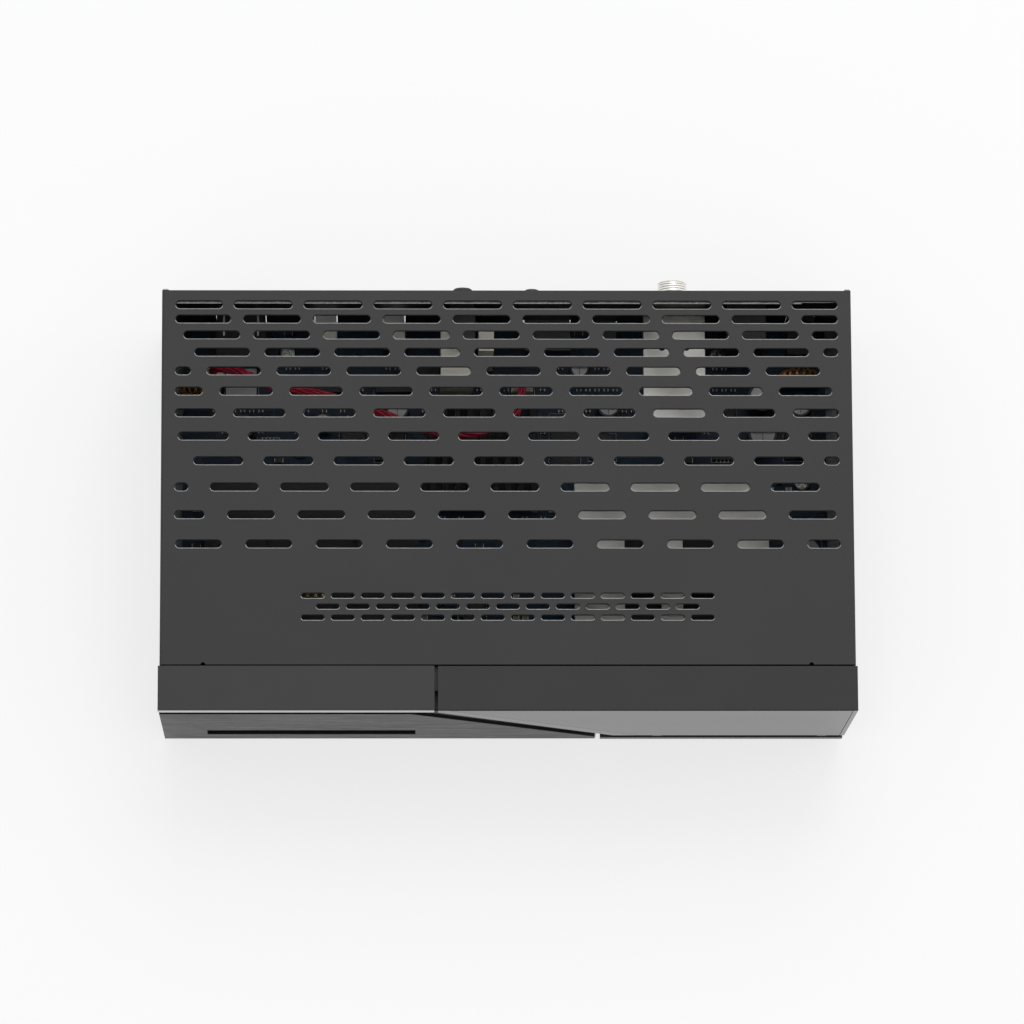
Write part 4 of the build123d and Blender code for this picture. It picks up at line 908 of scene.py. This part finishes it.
dress(tin_plate, "module_cage", "tuner_can")
cage_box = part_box("module_cage")
cage_rib = boxes_object("cage_rib", [((-rib_half_width, -rib_half_length, 0),
                                      (rib_half_width, rib_half_length, rib_height))])
cage_top = over(cage_box, cage_box[1].z)
rib_places = [(cage_top + Vector((side * rib_spacing, 0, 0)), (0, 0, 0)) for side in (-1, 0, 1)]
set_out("cage_ribs", cage_rib, rib_places, tin_plate, "tinned_steel")
can_low, can_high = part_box("tuner_can")
lid_fingers = []
for x in (can_low.x - lid_sheet, can_high.x):
    for step in range(lid_fingers_a_side):
        y = can_low.y + (step + 0.5) * (can_high.y - can_low.y) / lid_fingers_a_side
        lid_fingers.append(((x, y - finger_half_width, can_high.z - lid_drop),
                            (x + lid_sheet, y + finger_half_width, can_high.z)))
add_boxes("tuner_lid", lid_fingers, tin_plate, "tinned_steel")

# ---------------------------------------------------------------- rear sockets
# On the board's rear edge: a black moulded network socket with two lamps, two upright USB
# sockets of nickel-plated shell over a cream body, and dull shells for video and service.
# Their tongues are moulded and carry gold-plated contacts.
contact_thick = 0.12 * mm
contact_length = 7.0 * mm
contact_half_width = 0.5 * mm
contact_pitch = 2.4 * mm
contacts_each = 4
body_near = 6.0 * mm
body_far = 12.5 * mm
body_skin = 0.1 * mm
clip_half_width = 1.0 * mm
clip_length = 4.6 * mm
clip_thick = 0.25 * mm
clip_inset = 1.6 * mm
clip_sunk = 0.12 * mm
arm_half_width = 0.3 * mm
arm_inset = 2.4 * mm
arm_length = 8.5 * mm
arm_thick = 0.3 * mm
lamp_inset = 1.0 * mm
lamp_width = 2.4 * mm
lamp_depth = 0.3 * mm
lamp_height = 1.6 * mm
lamp_drop = 0.7 * mm
lamp_proud = 0.02 * mm
shell_nickel = finish("nickel_shell", (0.84, 0.84, 0.82), (0.78, 0.78, 0.76), (0.34, 0.44), metallic=0.6,
                      fine=500.0, broad=150.0, depth=0.001 * mm, rubbed=(0.88, 0.87, 0.84))
shell_dull = finish("dull_shell", (0.15, 0.15, 0.15), (0.11, 0.11, 0.11), (0.36, 0.48), metallic=1.0,
                    fine=500.0, broad=150.0, depth=0.001 * mm, rubbed=(0.4, 0.4, 0.4))
cream_body = finish("cream_body", (0.90, 0.87, 0.77), (0.84, 0.81, 0.71), (0.35, 0.5), fine=1600.0, broad=200.0,
                    depth=0.006 * mm, rubbed=(0.80, 0.78, 0.70))
tongue_black = finish("tongue_plastic", (0.03, 0.03, 0.032), (0.02, 0.02, 0.021), (0.4, 0.55), fine=2500.0,
                      broad=300.0)
lamp_green = finish("green_lamp", (0.05, 0.42, 0.10), (0.04, 0.34, 0.08), (0.2, 0.35), fine=3000.0, broad=400.0)
dress(shell_nickel, "usb_sockets")
dress(shell_dull, "hdmi_socket", "service_socket")
dress(moulded_black, "lan_socket")
dress(tongue_black, "usb_tongues", "hdmi_tongue")
contact_strip = boxes_object("contact_strip", [
    ((-contact_thick, -contact_length, -contact_half_width), (0, 0, contact_half_width))])
contact_places = []
for low, high in solids_of("usb_tongues"):
    for step in range(contacts_each):
        height = (low.z + high.z) / 2 + (step - (contacts_each - 1) / 2) * contact_pitch
        contact_places.append(((low.x, high.y, height), (0, 0, 0)))
set_out("usb_contacts", contact_strip, contact_places, gold, "contact_gold")
clip = boxes_object("shell_finger", [((-clip_half_width, -clip_length, 0), (clip_half_width, 0, clip_thick))])
clip_places, body_boxes, cover_boxes = [], [], []
for low, high in solids_of("usb_sockets"):
    left, right, top = low.x - body_skin, high.x + body_skin, high.z + body_skin
    clip_places.append((((low.x + high.x) / 2, high.y - clip_inset, high.z - clip_sunk), (0, 0, 0)))
    body_boxes.append(((left, high.y - body_far, low.z), (right, high.y - body_near, top)))
    cover_boxes.append(((left, low.y - body_skin, low.z), (right, high.y - body_far, top)))
set_out("shell_fingers", clip, clip_places, shell_nickel, "socket_shell")
add_boxes("usb_bodies", body_boxes, cream_body, "tongue_plastic")
add_boxes("usb_rear_covers", cover_boxes, moulded_black, "tongue_plastic")
lan_low, lan_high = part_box("lan_socket")
arm_boxes = [
    ((x - arm_half_width, lan_high.y - arm_length, lan_high.z),
     (x + arm_half_width, lan_high.y, lan_high.z + arm_thick))
    for x in (lan_low.x + arm_inset, lan_high.x - arm_inset)]
add_boxes("lan_spring_arms", arm_boxes, shell_nickel, "socket_shell")
lamp_top = lan_high.z - lamp_drop
lamp_boxes = [
    ((x, lan_high.y - lamp_depth, lamp_top - lamp_height), (x + lamp_width, lan_high.y + lamp_proud, lamp_top))
    for x in (lan_low.x + lamp_inset, lan_high.x - lamp_inset - lamp_width)]
add_boxes("lan_lamps", lamp_boxes, lamp_green, "led_lens")

# ---------------------------------------------------------------- inlet, audio-video jack and switch
# Black nylon mouldings in the rear panel: a low-voltage inlet with a plated pin, a jack with
# a chamfered collar and cream housings behind it, and a rocker in its snap-in housing.
pin_length = 8.75 * mm
pin_radius = 1.06 * mm
pin_chamfer = 0.45 * mm
pin_tip_share = 0.7
pin_depth = 9.5 * mm
pin_rise = 0.8 * mm
housing_top = 40.0 * mm
# Left, right, near and far side of each cream housing.
housing_sides_mm = {
    "front": (-21.3, -13.8, 39.5, 49.7), "step": (-13.8, -10.5, 39.5, 44.0),
    "rear": (-21.3, -18.3, 49.7, 57.0), "right": (-9.0, -4.0, 48.0, 57.0),
}


def point_back(piece, foot):
    """Lay a piece that stands on Z towards the rear, with its foot at a spot."""
    piece.data.transform(Matrix.Translation(foot) @ Matrix.Rotation(-math.pi / 2, 4, "X"))


dress(moulded_black, "dc_inlet", "av_jack", "switch_housing")
rocker_black = finish("rocker_black", (0.026, 0.026, 0.028), (0.018, 0.018, 0.019), (0.28, 0.42), fine=2000.0,
                      broad=200.0, depth=0.008 * mm, rubbed=(0.07, 0.07, 0.07))
dress(rocker_black, "power_rocker")
inlet_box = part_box("dc_inlet")
inlet_centre = middle(inlet_box)
inlet_pin = turned("inlet_pin", [
    (0, 0), (pin_radius, 0), (pin_radius, pin_length - pin_chamfer), (pin_radius * pin_tip_share, pin_length),
    (0, pin_length)], segments=24)
point_back(inlet_pin, (inlet_centre.x, inlet_box[1].y - pin_depth, inlet_centre.z + pin_rise))
inlet_pin.data.materials.append(shell_nickel)
add_piece(smooth(inlet_pin), "socket_shell")
housings = [
    ((left * mm, near * mm, board_top), (right * mm, far * mm, housing_top))
    for left, right, near, far in housing_sides_mm.values()]
add_boxes("jack_housings", housings, cream_body, "tongue_plastic")

# ---------------------------------------------------------------- antenna connector
# Brass turned to a threaded barrel and nickel plated, held by a flat nut and a washer. A
# white insulator fills the bore round the centre contact.
thread_pitch = 0.79 * mm
thread_depth = 0.14 * mm
thread_row = 0.1 * mm
thread_clear = 0.3 * mm
thread_runout = 0.1 * mm
barrel_step = 0.2 * mm
chamfer = 0.4 * mm
bore = 3.3 * mm
bore_wall = 0.5 * mm
root = 1.9 * mm
root_length = 3.0 * mm
bore_floor = 4.0 * mm
plated = finish("nickel_on_brass", (0.92, 0.90, 0.84), (0.86, 0.84, 0.78), (0.26, 0.34), metallic=0.85,
                fine=500.0, broad=200.0, depth=0.001 * mm)
ptfe = finish("white_insulator", (0.80, 0.79, 0.75), (0.72, 0.71, 0.67), (0.4, 0.55), fine=2500.0, broad=600.0)
dress(plated, "f_nut", "f_washer")
dress(ptfe, "f_insulator")


def build_thread_tree():
    """Cut a helical groove in a turned surface between two heights, outside a least radius."""
    sizes = {"Pitch": "Float", "Depth": "Float", "From": "Float", "To": "Float", "Least radius": "Float"}
    tree, given, end = geometry_tree("cut_thread", sizes)
    calc = partial(sum_up, tree)
    x, y, z = node(tree, "ShaderNodeSeparateXYZ", None, out(tree, "GeometryNodeInputPosition")).outputs
    radius = calc("SQRT", calc("ADD", calc("MULTIPLY", x, x), calc("MULTIPLY", y, y)))
    turn = calc("DIVIDE", calc("ARCTAN2", y, x), 2 * math.pi)
    phase = calc("FRACT", calc("SUBTRACT", calc("DIVIDE", z, given["Pitch"]), turn))
    valley = calc("SUBTRACT", 1.0, calc("ABSOLUTE", calc("SUBTRACT", calc("MULTIPLY", phase, 2.0), 1.0)))
    inside = calc("MULTIPLY", calc("GREATER_THAN", z, given["From"]), calc("LESS_THAN", z, given["To"]))
    inside = calc("MULTIPLY", inside, calc("GREATER_THAN", radius, given["Least radius"]))
    cut = calc("MULTIPLY", calc("MULTIPLY", valley, given["Depth"]), inside)
    share = calc("DIVIDE", cut, radius)
    inwards = [calc("MULTIPLY", calc("MULTIPLY", value, share), -1.0) for value in (x, y)]
    offset = out(tree, "ShaderNodeCombineXYZ", None, *inwards)
    close_tree(tree, given, end, out(tree, "GeometryNodeSetPosition", None, given["Geometry"], Offset=offset))
    return tree


barrel_low, barrel_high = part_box("f_connector")
barrel_centre = middle((barrel_low, barrel_high))
barrel_length = barrel_high.y - barrel_low.y
shoulder = (barrel_high.x - barrel_low.x) / 2
barrel = shoulder - barrel_step
nut_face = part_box("f_nut")[1].y - barrel_low.y
thread_end = barrel_length - chamfer
thread_rows = int((thread_end - nut_face) / thread_row)
barrel_profile = [(0, 0), (root, 0), (root, root_length), (shoulder, root_length), (shoulder, nut_face)]
for step in range(thread_rows + 1):
    barrel_profile.append((barrel, nut_face + step * (thread_end - nut_face) / thread_rows))
barrel_profile += [
    (barrel - chamfer, barrel_length), (bore, barrel_length), (bore, bore_floor), (0, bore_floor)]
threaded_barrel = turned("threaded_barrel", barrel_profile, segments=60)
grow(threaded_barrel, build_thread_tree(), {
    "Pitch": thread_pitch, "Depth": thread_depth, "From": nut_face + thread_clear,
    "To": thread_end - thread_runout, "Least radius": bore + bore_wall}, plated)
point_back(threaded_barrel, (barrel_centre.x, barrel_low.y, barrel_centre.z))
add_piece(smooth(threaded_barrel, angle_deg=80), "connector_nickel", "f_connector")

# ---------------------------------------------------------------- wire loom
# Five crimson PVC wires, loosely twisted together, in cream nylon plugs at both ends. The
# loom rises from one header, lies over the rear of the board and drops to the other.
wire_count = 5
strand_radius = 0.52 * mm
strand_orbit = 0.92 * mm
twist_length = 26.0 * mm
route_step = 1.0 * mm
corner_share = 0.45
corner_steps = 8
# Spots that the loom passes on its way over the board.
route_mm = [
    (-87.0, 43.2, 32.0), (-77.0, 37.5, 31.0), (-62.0, 36.5, 30.0), (-40.0, 29.5, 29.0), (-24.0, 23.0, 28.5),
    (-9.0, 22.5, 28.5), (4.5, 28.5, 29.0),
]
loom_rise = 7.6 * mm


def rounded_route(corners):
    """Route through the corners with each corner rounded."""
    spots = [corners[0]]
    for before, corner, after in zip(corners, corners[1:], corners[2:]):
        reach = corner_share * min((corner - before).length, (after - corner).length)
        first = corner + (before - corner).normalized() * reach
        last = corner + (after - corner).normalized() * reach
        for step in range(corner_steps + 1):
            share = step / corner_steps
            spots.append(first.lerp(corner, share).lerp(corner.lerp(last, share), share))
    return [*spots, corners[-1]]


def build_loom_tree():
    """Wires twisted round a route: each copy of the curve keeps its own phase round the middle."""
    sizes = {"Wires": "Int", "Wire": "Float", "Orbit": "Float", "Twist": "Float", "Step": "Float"}
    tree, given, end = geometry_tree("twisted_loom", sizes)
    calc = partial(sum_up, tree)
    calc_vector = partial(sum_up, tree, kind="ShaderNodeVectorMath")
    curve = out(tree, "GeometryNodeMeshToCurve", None, given["Geometry"])
    finer = out(tree, "GeometryNodeResampleCurve", {"mode": "LENGTH"}, curve, Length=given["Step"])
    copies, number = node(tree, "GeometryNodeDuplicateElements", {"domain": "SPLINE"}, finer,
                          Amount=given["Wires"]).outputs
    normal = out(tree, "GeometryNodeInputNormal")
    side = calc_vector("CROSS_PRODUCT", out(tree, "GeometryNodeInputTangent"), normal)
    length = node(tree, "GeometryNodeSplineParameter").outputs["Length"]
    phase = calc("DIVIDE", number, given["Wires"])
    turn = calc("MULTIPLY", calc("ADD", phase, calc("DIVIDE", length, given["Twist"])), 2 * math.pi)
    pushes = [
        calc_vector("SCALE", axis, calc("MULTIPLY", calc(wave, turn), given["Orbit"]))
        for axis, wave in ((normal, "COSINE"), (side, "SINE"))]
    twisted = out(tree, "GeometryNodeSetPosition", None, copies, Offset=calc_vector("ADD", *pushes))
    close_tree(tree, given, end, tube(tree, twisted, sides=10, radius=given["Wire"], caps=True))
    return tree


crimson = finish("crimson_pvc", (0.52, 0.016, 0.052), (0.42, 0.012, 0.040), (0.30, 0.42), fine=1800.0,
                 broad=300.0, depth=0.008 * mm)
nylon = finish("cream_nylon", (0.72, 0.68, 0.55), (0.62, 0.58, 0.46), (0.35, 0.5), fine=1600.0, broad=260.0,
               depth=0.01 * mm, rubbed=(0.82, 0.79, 0.68))
dress(nylon, "wire_headers", "wire_plugs")
first_plug, last_plug = [over(box, box[1].z) for box in solids_of("wire_plugs")]
rise = Vector((0, 0, loom_rise))
corners = [first_plug, first_plug + rise]
corners += [Vector(spot) * mm for spot in route_mm]
corners += [last_plug + rise, last_plug]
route = rounded_route(corners)
wires = new_mesh_object("twisted_wires", route, [])
add_wires(wires, [(step, step + 1) for step in range(len(route) - 1)])
grow(wires, build_loom_tree(), {"Wires": wire_count, "Wire": strand_radius, "Orbit": strand_orbit,
                                "Twist": twist_length, "Step": route_step}, crimson)
add_piece(smooth(wires, angle_deg=60), "loom_red", "wire_loom")

# ---------------------------------------------------------------- board screws
# Zinc-plated steel pan heads, cold formed with a cross recess and driven through the board
# into the standoffs. They stop at different turns.
recess_half = 0.42 * mm
recess_depth = 0.9 * mm
recess_reach = 0.62
recess_taper = 0.8
head_segments = 32
head_rim = 0.6 * mm
shoulder_in = 0.3
shoulder_down = 0.35
head_turn_deg = 37
screw_zinc = finish("zinc_screw", (0.60, 0.60, 0.56), (0.48, 0.48, 0.45), (0.24, 0.40), metallic=1.0,
                    fine=3000.0, broad=900.0, depth=0.004 * mm, rubbed=(0.75, 0.75, 0.71),
                    rubbed_radius=0.15 * mm)


def screw_head(name, radius, height, rim):
    """Pan head seated at the origin and facing +Z, with a cross recess."""
    arm = radius * recess_reach
    shape = bmesh.new()
    shoulder_ring = (radius - rim * shoulder_in, height - rim * shoulder_down)
    rings = []
    for ring_size, z in ((radius, 0), (radius, height - rim), shoulder_ring, (radius - rim, height)):
        rings.append([])
        for step in range(head_segments):
            angle = 2 * math.pi * step / head_segments
            rings[-1].append(shape.verts.new((ring_size * math.cos(angle), ring_size * math.sin(angle), z)))
    for below, above in zip(rings, rings[1:]):
        for step in range(head_segments):
            after = (step + 1) % head_segments
            shape.faces.new((below[step], below[after], above[after], above[step]))
    shape.faces.new(rings[0][::-1])
    half = recess_half
    cross = [(arm, -half), (arm, half), (half, half), (half, arm), (-half, arm), (-half, half),
             (-arm, half), (-arm, -half), (-half, -half), (-half, -arm), (half, -arm), (half, -half)]
    lip = [shape.verts.new((x, y, height)) for x, y in cross]
    pit = [shape.verts.new((x * recess_taper, y * recess_taper, height - recess_depth)) for x, y in cross]
    for step in range(len(cross)):
        after = (step + 1) % len(cross)
        shape.faces.new((lip[step], lip[after], pit[after], pit[step]))
    shape.faces.new(pit)
    rims = [
        shape.edges.get((ring[step - 1], ring[step])) for ring in (rings[-1], lip) for step in range(len(ring))]
    bmesh.ops.triangle_fill(shape, edges=rims, use_beauty=True, use_dissolve=False)
    bmesh.ops.recalc_face_normals(shape, faces=shape.faces)
    made = new_mesh_object(name, [], [])
    shape.to_mesh(made.data)
    shape.free()
    return made


board_screw_boxes = solids_of("board_screws")
first_low, first_high = board_screw_boxes[0]
board_head = screw_head("board_head", (first_high.x - first_low.x) / 2, first_high.z - board_top, head_rim)
head_places = [
    (over(box, board_top), (0, 0, head_turn_deg * index)) for index, box in enumerate(board_screw_boxes)]
smooth(set_out("board_screw_heads", board_head, head_places, screw_zinc, "screw_steel", "board_screws"))

# ---------------------------------------------------------------- rear panel and its screw
# Zinc-coated sheet, punched for the sockets. Its zinc is painted darker than the tray's, as
# shade on the top flange under the cover. The flange, bright along the sheared edge, lies
# under the cover's rear edge, and one screw holds the two together.
edge_near = 0.45 * mm
edge_far = 0.10 * mm
edge_sunk = 0.2 * mm
edge_proud = 0.03 * mm
edge_from_left = 2.0 * mm
edge_from_right = 15.0 * mm
rear_head_sunk = 0.8 * mm
flange_skin = 0.1 * mm
# A darker copy of the tray's zinc: painted shade for the flange under the cover.
panel_zinc = finish("panel_zinc", (0.13, 0.13, 0.135), (0.10, 0.10, 0.105), (0.44, 0.56), metallic=1.0,
                    fine=500.0, broad=140.0, stretch=(0.25, 1, 1), depth=0.001 * mm, rubbed=(0.62, 0.62, 0.63))
sheared_zinc = finish("sheared_zinc", (0.24, 0.24, 0.245), (0.13, 0.13, 0.135), (0.2, 0.3), metallic=1.0,
                      fine=500.0, broad=900.0, depth=0.001 * mm)
screw_black = finish("black_screw", (0.035, 0.035, 0.036), (0.022, 0.022, 0.023), (0.28, 0.40), metallic=0.4,
                     fine=3000.0, broad=900.0, depth=0.003 * mm, rubbed=(0.22, 0.22, 0.22),
                     rubbed_radius=0.15 * mm)
dress(panel_zinc, "rear_panel")
panel_low, panel_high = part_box("rear_panel")
panel_spots = [vertex.co for vertex in parts["rear_panel"].data.vertices]
flange_front = min(spot.y for spot in panel_spots if spot.z > panel_high.z - flange_skin)
add_boxes("sheared_edge", [
    ((panel_low.x + edge_from_left, flange_front - edge_near, panel_high.z - edge_sunk),
     (panel_high.x - edge_from_right, flange_front - edge_far, panel_high.z + edge_proud))
], sheared_zinc, "bright_steel")
rear_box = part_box("rear_screw")
rear_centre = middle(rear_box)
rear_seat = panel_high.y - rear_head_sunk
rear_head = screw_head("rear_head", (rear_box[1].x - rear_box[0].x) / 2, rear_box[1].y - rear_seat, head_rim)
rear_place = ((rear_centre.x, rear_seat, rear_centre.z), (-90, 0, 0))
smooth(set_out("rear_screw_head", rear_head, [rear_place], screw_black, "screw_steel", "rear_screw"))

# ---------------------------------------------------------------- front frame and left cap
# Black ABS mouldings with a fine spark texture. The frame carries the fascia, the card
# slot and the door's hinge, and the cap closes its top and left end.
frame_black = finish("frame_abs", (0.021, 0.0205, 0.0205), (0.017, 0.017, 0.017), (0.34, 0.46), fine=3000.0,
                     broad=50.0, depth=0.006 * mm, rubbed=(0.05, 0.05, 0.05), rubbed_radius=0.12 * mm)
flap_black = finish("flap_abs", (0.015, 0.0145, 0.0145), (0.013, 0.0125, 0.0125), (0.10, 0.17), fine=400.0,
                    broad=50.0, depth=0.001 * mm)
dress(frame_black, "front_frame", "fascia", "left_cap")
dress(flap_black, "flap_door")

# ---------------------------------------------------------------- brushed plate and edge trim
# Aluminium plate brushed lengthways and anodised dark, glued in the frame. Its upper edge,
# down in the groove under the trim, is painted black as shade. Above it a bright diamond-cut
# strip follows the cap's front edge.
painted_shade_black = (0.006, 0.006, 0.006)
anodic_film = (0.70, 0.70, 0.71)
shaded_top_slope = 0.5
brushed = finish("brushed_anodised", (0.145, 0.142, 0.143), (0.024, 0.0235, 0.0235), (0.28, 0.44), metallic=1.0,
                 fine=6000.0, broad=1100.0, stretch=(0.045, 1, 1), depth=0.008 * mm)
tree = brushed.node_tree
shader = tree.nodes["Principled BSDF"]
grained = shader.inputs["Base Color"].links[0].from_socket
# Painted shade: the plate's upward faces, down in the groove under the trim, are black and not metallic.
groove_shade = sum_up(tree, "GREATER_THAN", facing(tree, "True Normal")["Z"], shaded_top_slope)
feed(tree, shader, Base_Color=mix_colours(tree, groove_shade, grained, painted_shade_black),
     Metallic=sum_up(tree, "SUBTRACT", 1.0, groove_shade), Specular_Tint=anodic_film)
trim_metal = finish("bright_trim", (0.50, 0.50, 0.505), (0.41, 0.41, 0.415), (0.14, 0.24), metallic=1.0,
                    fine=4000.0, broad=700.0, stretch=(0.05, 1, 1), depth=0.004 * mm)
dress(brushed, "brushed_plate")
dress(trim_metal, "edge_trim")

# ---------------------------------------------------------------- light guide and lamp
# Milky moulded acrylic bar pressed in the front frame. It leads light to the foot of the
# slanting groove from a clear lamp that is soldered under the board's front edge.
milky = finish("milky_acrylic", (0.86, 0.89, 0.92), (0.80, 0.83, 0.87), (0.25, 0.38), fine=2000.0, broad=300.0,
               depth=0.004 * mm, emission=0.18)
lamp_lens = finish("lamp_lens", (0.75, 0.82, 0.90), (0.68, 0.75, 0.84), (0.2, 0.3), fine=2500.0, broad=500.0,
                   depth=0.004 * mm, emission=1.2)
dress(milky, "light_guide")
dress(lamp_lens, "status_led")

# ---------------------------------------------------------------- controls behind the door
# A satin moulded button in the fascia over its switch, and the sensor's dark window. The
# nickel-plated magnet and its strike plate hold the door shut on its zinc-plated pins.
button_grey = finish("button_plastic", (0.11, 0.11, 0.115), (0.09, 0.09, 0.095), (0.34, 0.46), fine=2400.0,
                     broad=200.0, depth=0.006 * mm, rubbed=(0.2, 0.2, 0.2))
window_black = finish("sensor_window", (0.012, 0.010, 0.012), (0.008, 0.007, 0.008), (0.10, 0.2), fine=2400.0,
                      broad=200.0, depth=0.003 * mm)
magnet_plate = finish("magnet_nickel", (0.58, 0.57, 0.55), (0.48, 0.47, 0.45), (0.16, 0.3), metallic=1.0,
                      fine=2500.0, broad=500.0, depth=0.004 * mm, rubbed=(0.75, 0.74, 0.72))
dress(button_grey, "standby_button")
dress(window_black, "infrared_sensor")
dress(magnet_plate, "door_magnet", "strike_plate")
dress(screw_zinc, "hinge_pins")

# ---------------------------------------------------------------- door panel
# Piano-black acrylic inlay, polished and glued in the flap, with the faint wipe marks that
# such a face gets.
piano_black = finish("gloss_black", (0.006, 0.006, 0.0065), (0.004, 0.004, 0.0045), (0.05, 0.13), fine=90.0,
                     broad=35.0, stretch=(0.4, 1, 1), depth=0.002 * mm, specular=0.3)
dress(piano_black, "door_panel")

# ---------------------------------------------------------------- top cover and side screws
# Steel sheet, punched, folded, powder coated in fine-grained charcoal and fixed at its sides
# by painted pan heads. The slots' front edges, which the die broke, carry a painted pale
# highlight where they face the lamp behind.
coat_colour = (0.0165, 0.0158, 0.0160)
coat_second = (0.0138, 0.0132, 0.0134)
# Pale grey that paints the highlight on the slots' front chamfers, which face the lamp behind.
painted_highlight_grey = (0.46, 0.46, 0.465)
slot_depth = 0.6 * mm
tilt_starts, tilt_full, tilt_most = 0.92, 0.80, 0.4
rear_starts, rear_full = 0.05, 0.3
highlight_breakup_scale = 900.0
highlight_breakup_low, highlight_breakup_high, highlight_least = 0.3, 0.6, 0.7
side_head_height = 0.8 * mm
side_head_rim = 0.25 * mm


def powder_coat(name):
    """Fine-grained coat with a painted highlight on the tilted faces at the front edge of each slot."""
    material = finish(name, coat_colour, coat_second, (0.46, 0.58), fine=2600.0, broad=24.0, depth=0.014 * mm)
    tree = material.node_tree
    shader = tree.nodes["Principled BSDF"]
    grained = shader.inputs["Base Color"].links[0].from_socket
    calc = partial(sum_up, tree)
    place = object_place(tree)
    height = node(tree, "ShaderNodeSeparateXYZ", None, place).outputs["Z"]
    face = facing(tree, "True Normal")
    tilt = remap(tree, face["Z"], tilt_starts, tilt_full)
    tilted = calc("MULTIPLY", tilt, calc("GREATER_THAN", face["Z"], tilt_most))
    on_top = calc("MULTIPLY", tilted, calc("GREATER_THAN", height, cad_high.z - slot_depth))
    rearward = calc("MULTIPLY", on_top, remap(tree, face["Y"], rear_starts, rear_full))
    uneven = remap(tree, speckle(tree, place, highlight_breakup_scale, 3.0), highlight_breakup_low, highlight_breakup_high, highlight_least, 1.0)
    # Painted highlight: the rear-facing chamfers at the top get the pale grey, broken up by noise.
    painted_highlight = calc("MULTIPLY", rearward, uneven)
    feed(tree, shader, Base_Color=mix_colours(tree, painted_highlight, grained, painted_highlight_grey))
    return material


dress(powder_coat("powder_coat"), "top_cover")
side_paint = finish("painted_screw", coat_colour, coat_second, (0.4, 0.5), fine=2600.0, broad=60.0,
                    rubbed=(0.2, 0.2, 0.2), rubbed_radius=0.2 * mm)
side_boxes = solids_of("side_screws")
side_radius = (side_boxes[0][1].z - side_boxes[0][0].z) / 2
side_head = screw_head("side_head", side_radius, side_head_height, side_head_rim)
side_places = []
for low, high in side_boxes:
    spot = middle((low, high))
    seat, turn = (low.x + side_head_height, -90) if spot.x < 0 else (high.x - side_head_height, 90)
    side_places.append(((seat, spot.y, spot.z), (0, turn, 0)))
smooth(set_out("side_screw_heads", side_head, side_places, side_paint, "cover_paint", "side_screws"))
